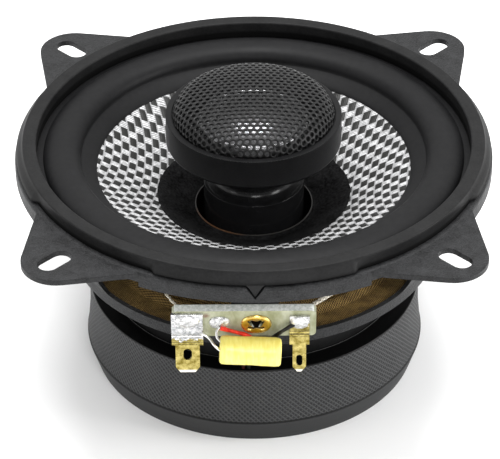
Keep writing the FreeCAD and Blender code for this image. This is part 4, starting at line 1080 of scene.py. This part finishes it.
paint("basket", basket_paint())
make_gasket(ring_rubber(), simple("tooth_rubber", (0.009, 0.009, 0.0092), (0.018, 0.018, 0.0182), 0.5, 0.02,
                                  (0.45, 0.6), edge=0.15, specular=0.14))
make_surround(simple("surround_rubber", (0.006, 0.006, 0.0065), (0.010, 0.010, 0.0105), 1.2, 0.01, (0.46, 0.56),
                     specular=0.13))
make_cone(woven_cloth())
make_felt(felt())
make_spider(spider_cloth())
paint("voice_coil_former", coil_film())
copper = turned_metal("copper_wire", (0.45, 0.16, 0.06), (0.75, 0.33, 0.16))
paint("voice_coil_winding", copper)
paint("tweeter_coil", copper)
steel = turned_metal("plated_steel", (0.42, 0.42, 0.40), (0.62, 0.62, 0.60))
for name in ("yoke", "basket_rivets", "tweeter_yoke_cup", "tweeter_pole_plate"):
    paint(name, steel)
paint("top_plate", simple("plate_paint", (0.004, 0.004, 0.0042), (0.009, 0.009, 0.0092), 0.8, 0.02, (0.5, 0.6),
                          edge=0.2, specular=0.15))
paint("magnet", simple("ferrite", (0.006, 0.006, 0.0062), (0.014, 0.014, 0.0144), 0.8, 0.03, (0.5, 0.7), edge=0.3,
                       specular=0.2))
make_boot(boot_rubber())
paint("tweeter_post", simple("post_plastic", (0.006, 0.006, 0.0063), (0.010, 0.010, 0.0105), 2.0, 0.004,
                             (0.14, 0.22), edge=0.3, specular=0.3))
plastic = simple("tweeter_plastic", (0.004, 0.004, 0.0043), (0.008, 0.008, 0.0084), 0.4, 0.012, (0.3, 0.4), edge=0.35,
                 specular=0.13)
paint("tweeter_housing", plastic)
paint("tweeter_faceplate", plastic)
make_grille(simple("grille_steel", (0.003, 0.003, 0.0032), (0.007, 0.007, 0.0073), 0.6, 0.01, (0.3, 0.4),
                   specular=0.25))
paint("tweeter_magnet", turned_metal("nickel", (0.60, 0.58, 0.55), (0.78, 0.77, 0.74)))
paint("tweeter_motor_feet", simple("foot_rubber", (0.02, 0.02, 0.02), (0.04, 0.04, 0.04), 0.6, 0.02, (0.6, 0.7)))
make_dome(simple("dome_film", (0.30, 0.30, 0.31), (0.42, 0.42, 0.43), 2.0, 0.015, (0.2, 0.28), metallic=1.0))
paint("terminal_board", board_laminate())
paint("positive_tab", tab_metal("wide_tab", 32.6, (0.36, 0.37, 0.38), (31.2, 34.2)))
paint("negative_tab", tab_metal("narrow_tab", 36.9, (0.42, 0.42, 0.42), (33.4, 35.2)))
brass = simple("brass_parts", (0.62, 0.40, 0.09), (0.95, 0.74, 0.28), 0.9, 0.02, (0.2, 0.34), edge=0.1, metallic=1.0)
for name in ("post_nut", "lead_eyelets", "tweeter_tags"):
    paint(name, brass)
make_eyelet(brass, simple("eyelet_shade", (0.004, 0.003, 0.002), (0.010, 0.007, 0.004), 0.5, 0.01, (0.5, 0.7),
                          specular=0.1))
make_solder(simple("solder", (0.30, 0.30, 0.30), (0.98, 0.98, 0.98), 0.5, 0.08, (0.22, 0.4), metallic=0.7))
end = make_capacitor(sleeve())
make_leads(simple("tinned_wire", (0.62, 0.62, 0.60), (0.86, 0.86, 0.84), 0.6, 0.01, (0.22, 0.34), metallic=0.9), end)
make_wires(red_sleeve(),
           simple("black_insulation", (0.004, 0.004, 0.004), (0.010, 0.010, 0.010), 0.8, 0.01, (0.3, 0.4),
                  specular=0.25))
make_tinsel(twisted("tinsel_braid", (0.36, 0.32, 0.24), (0.88, 0.84, 0.74)))
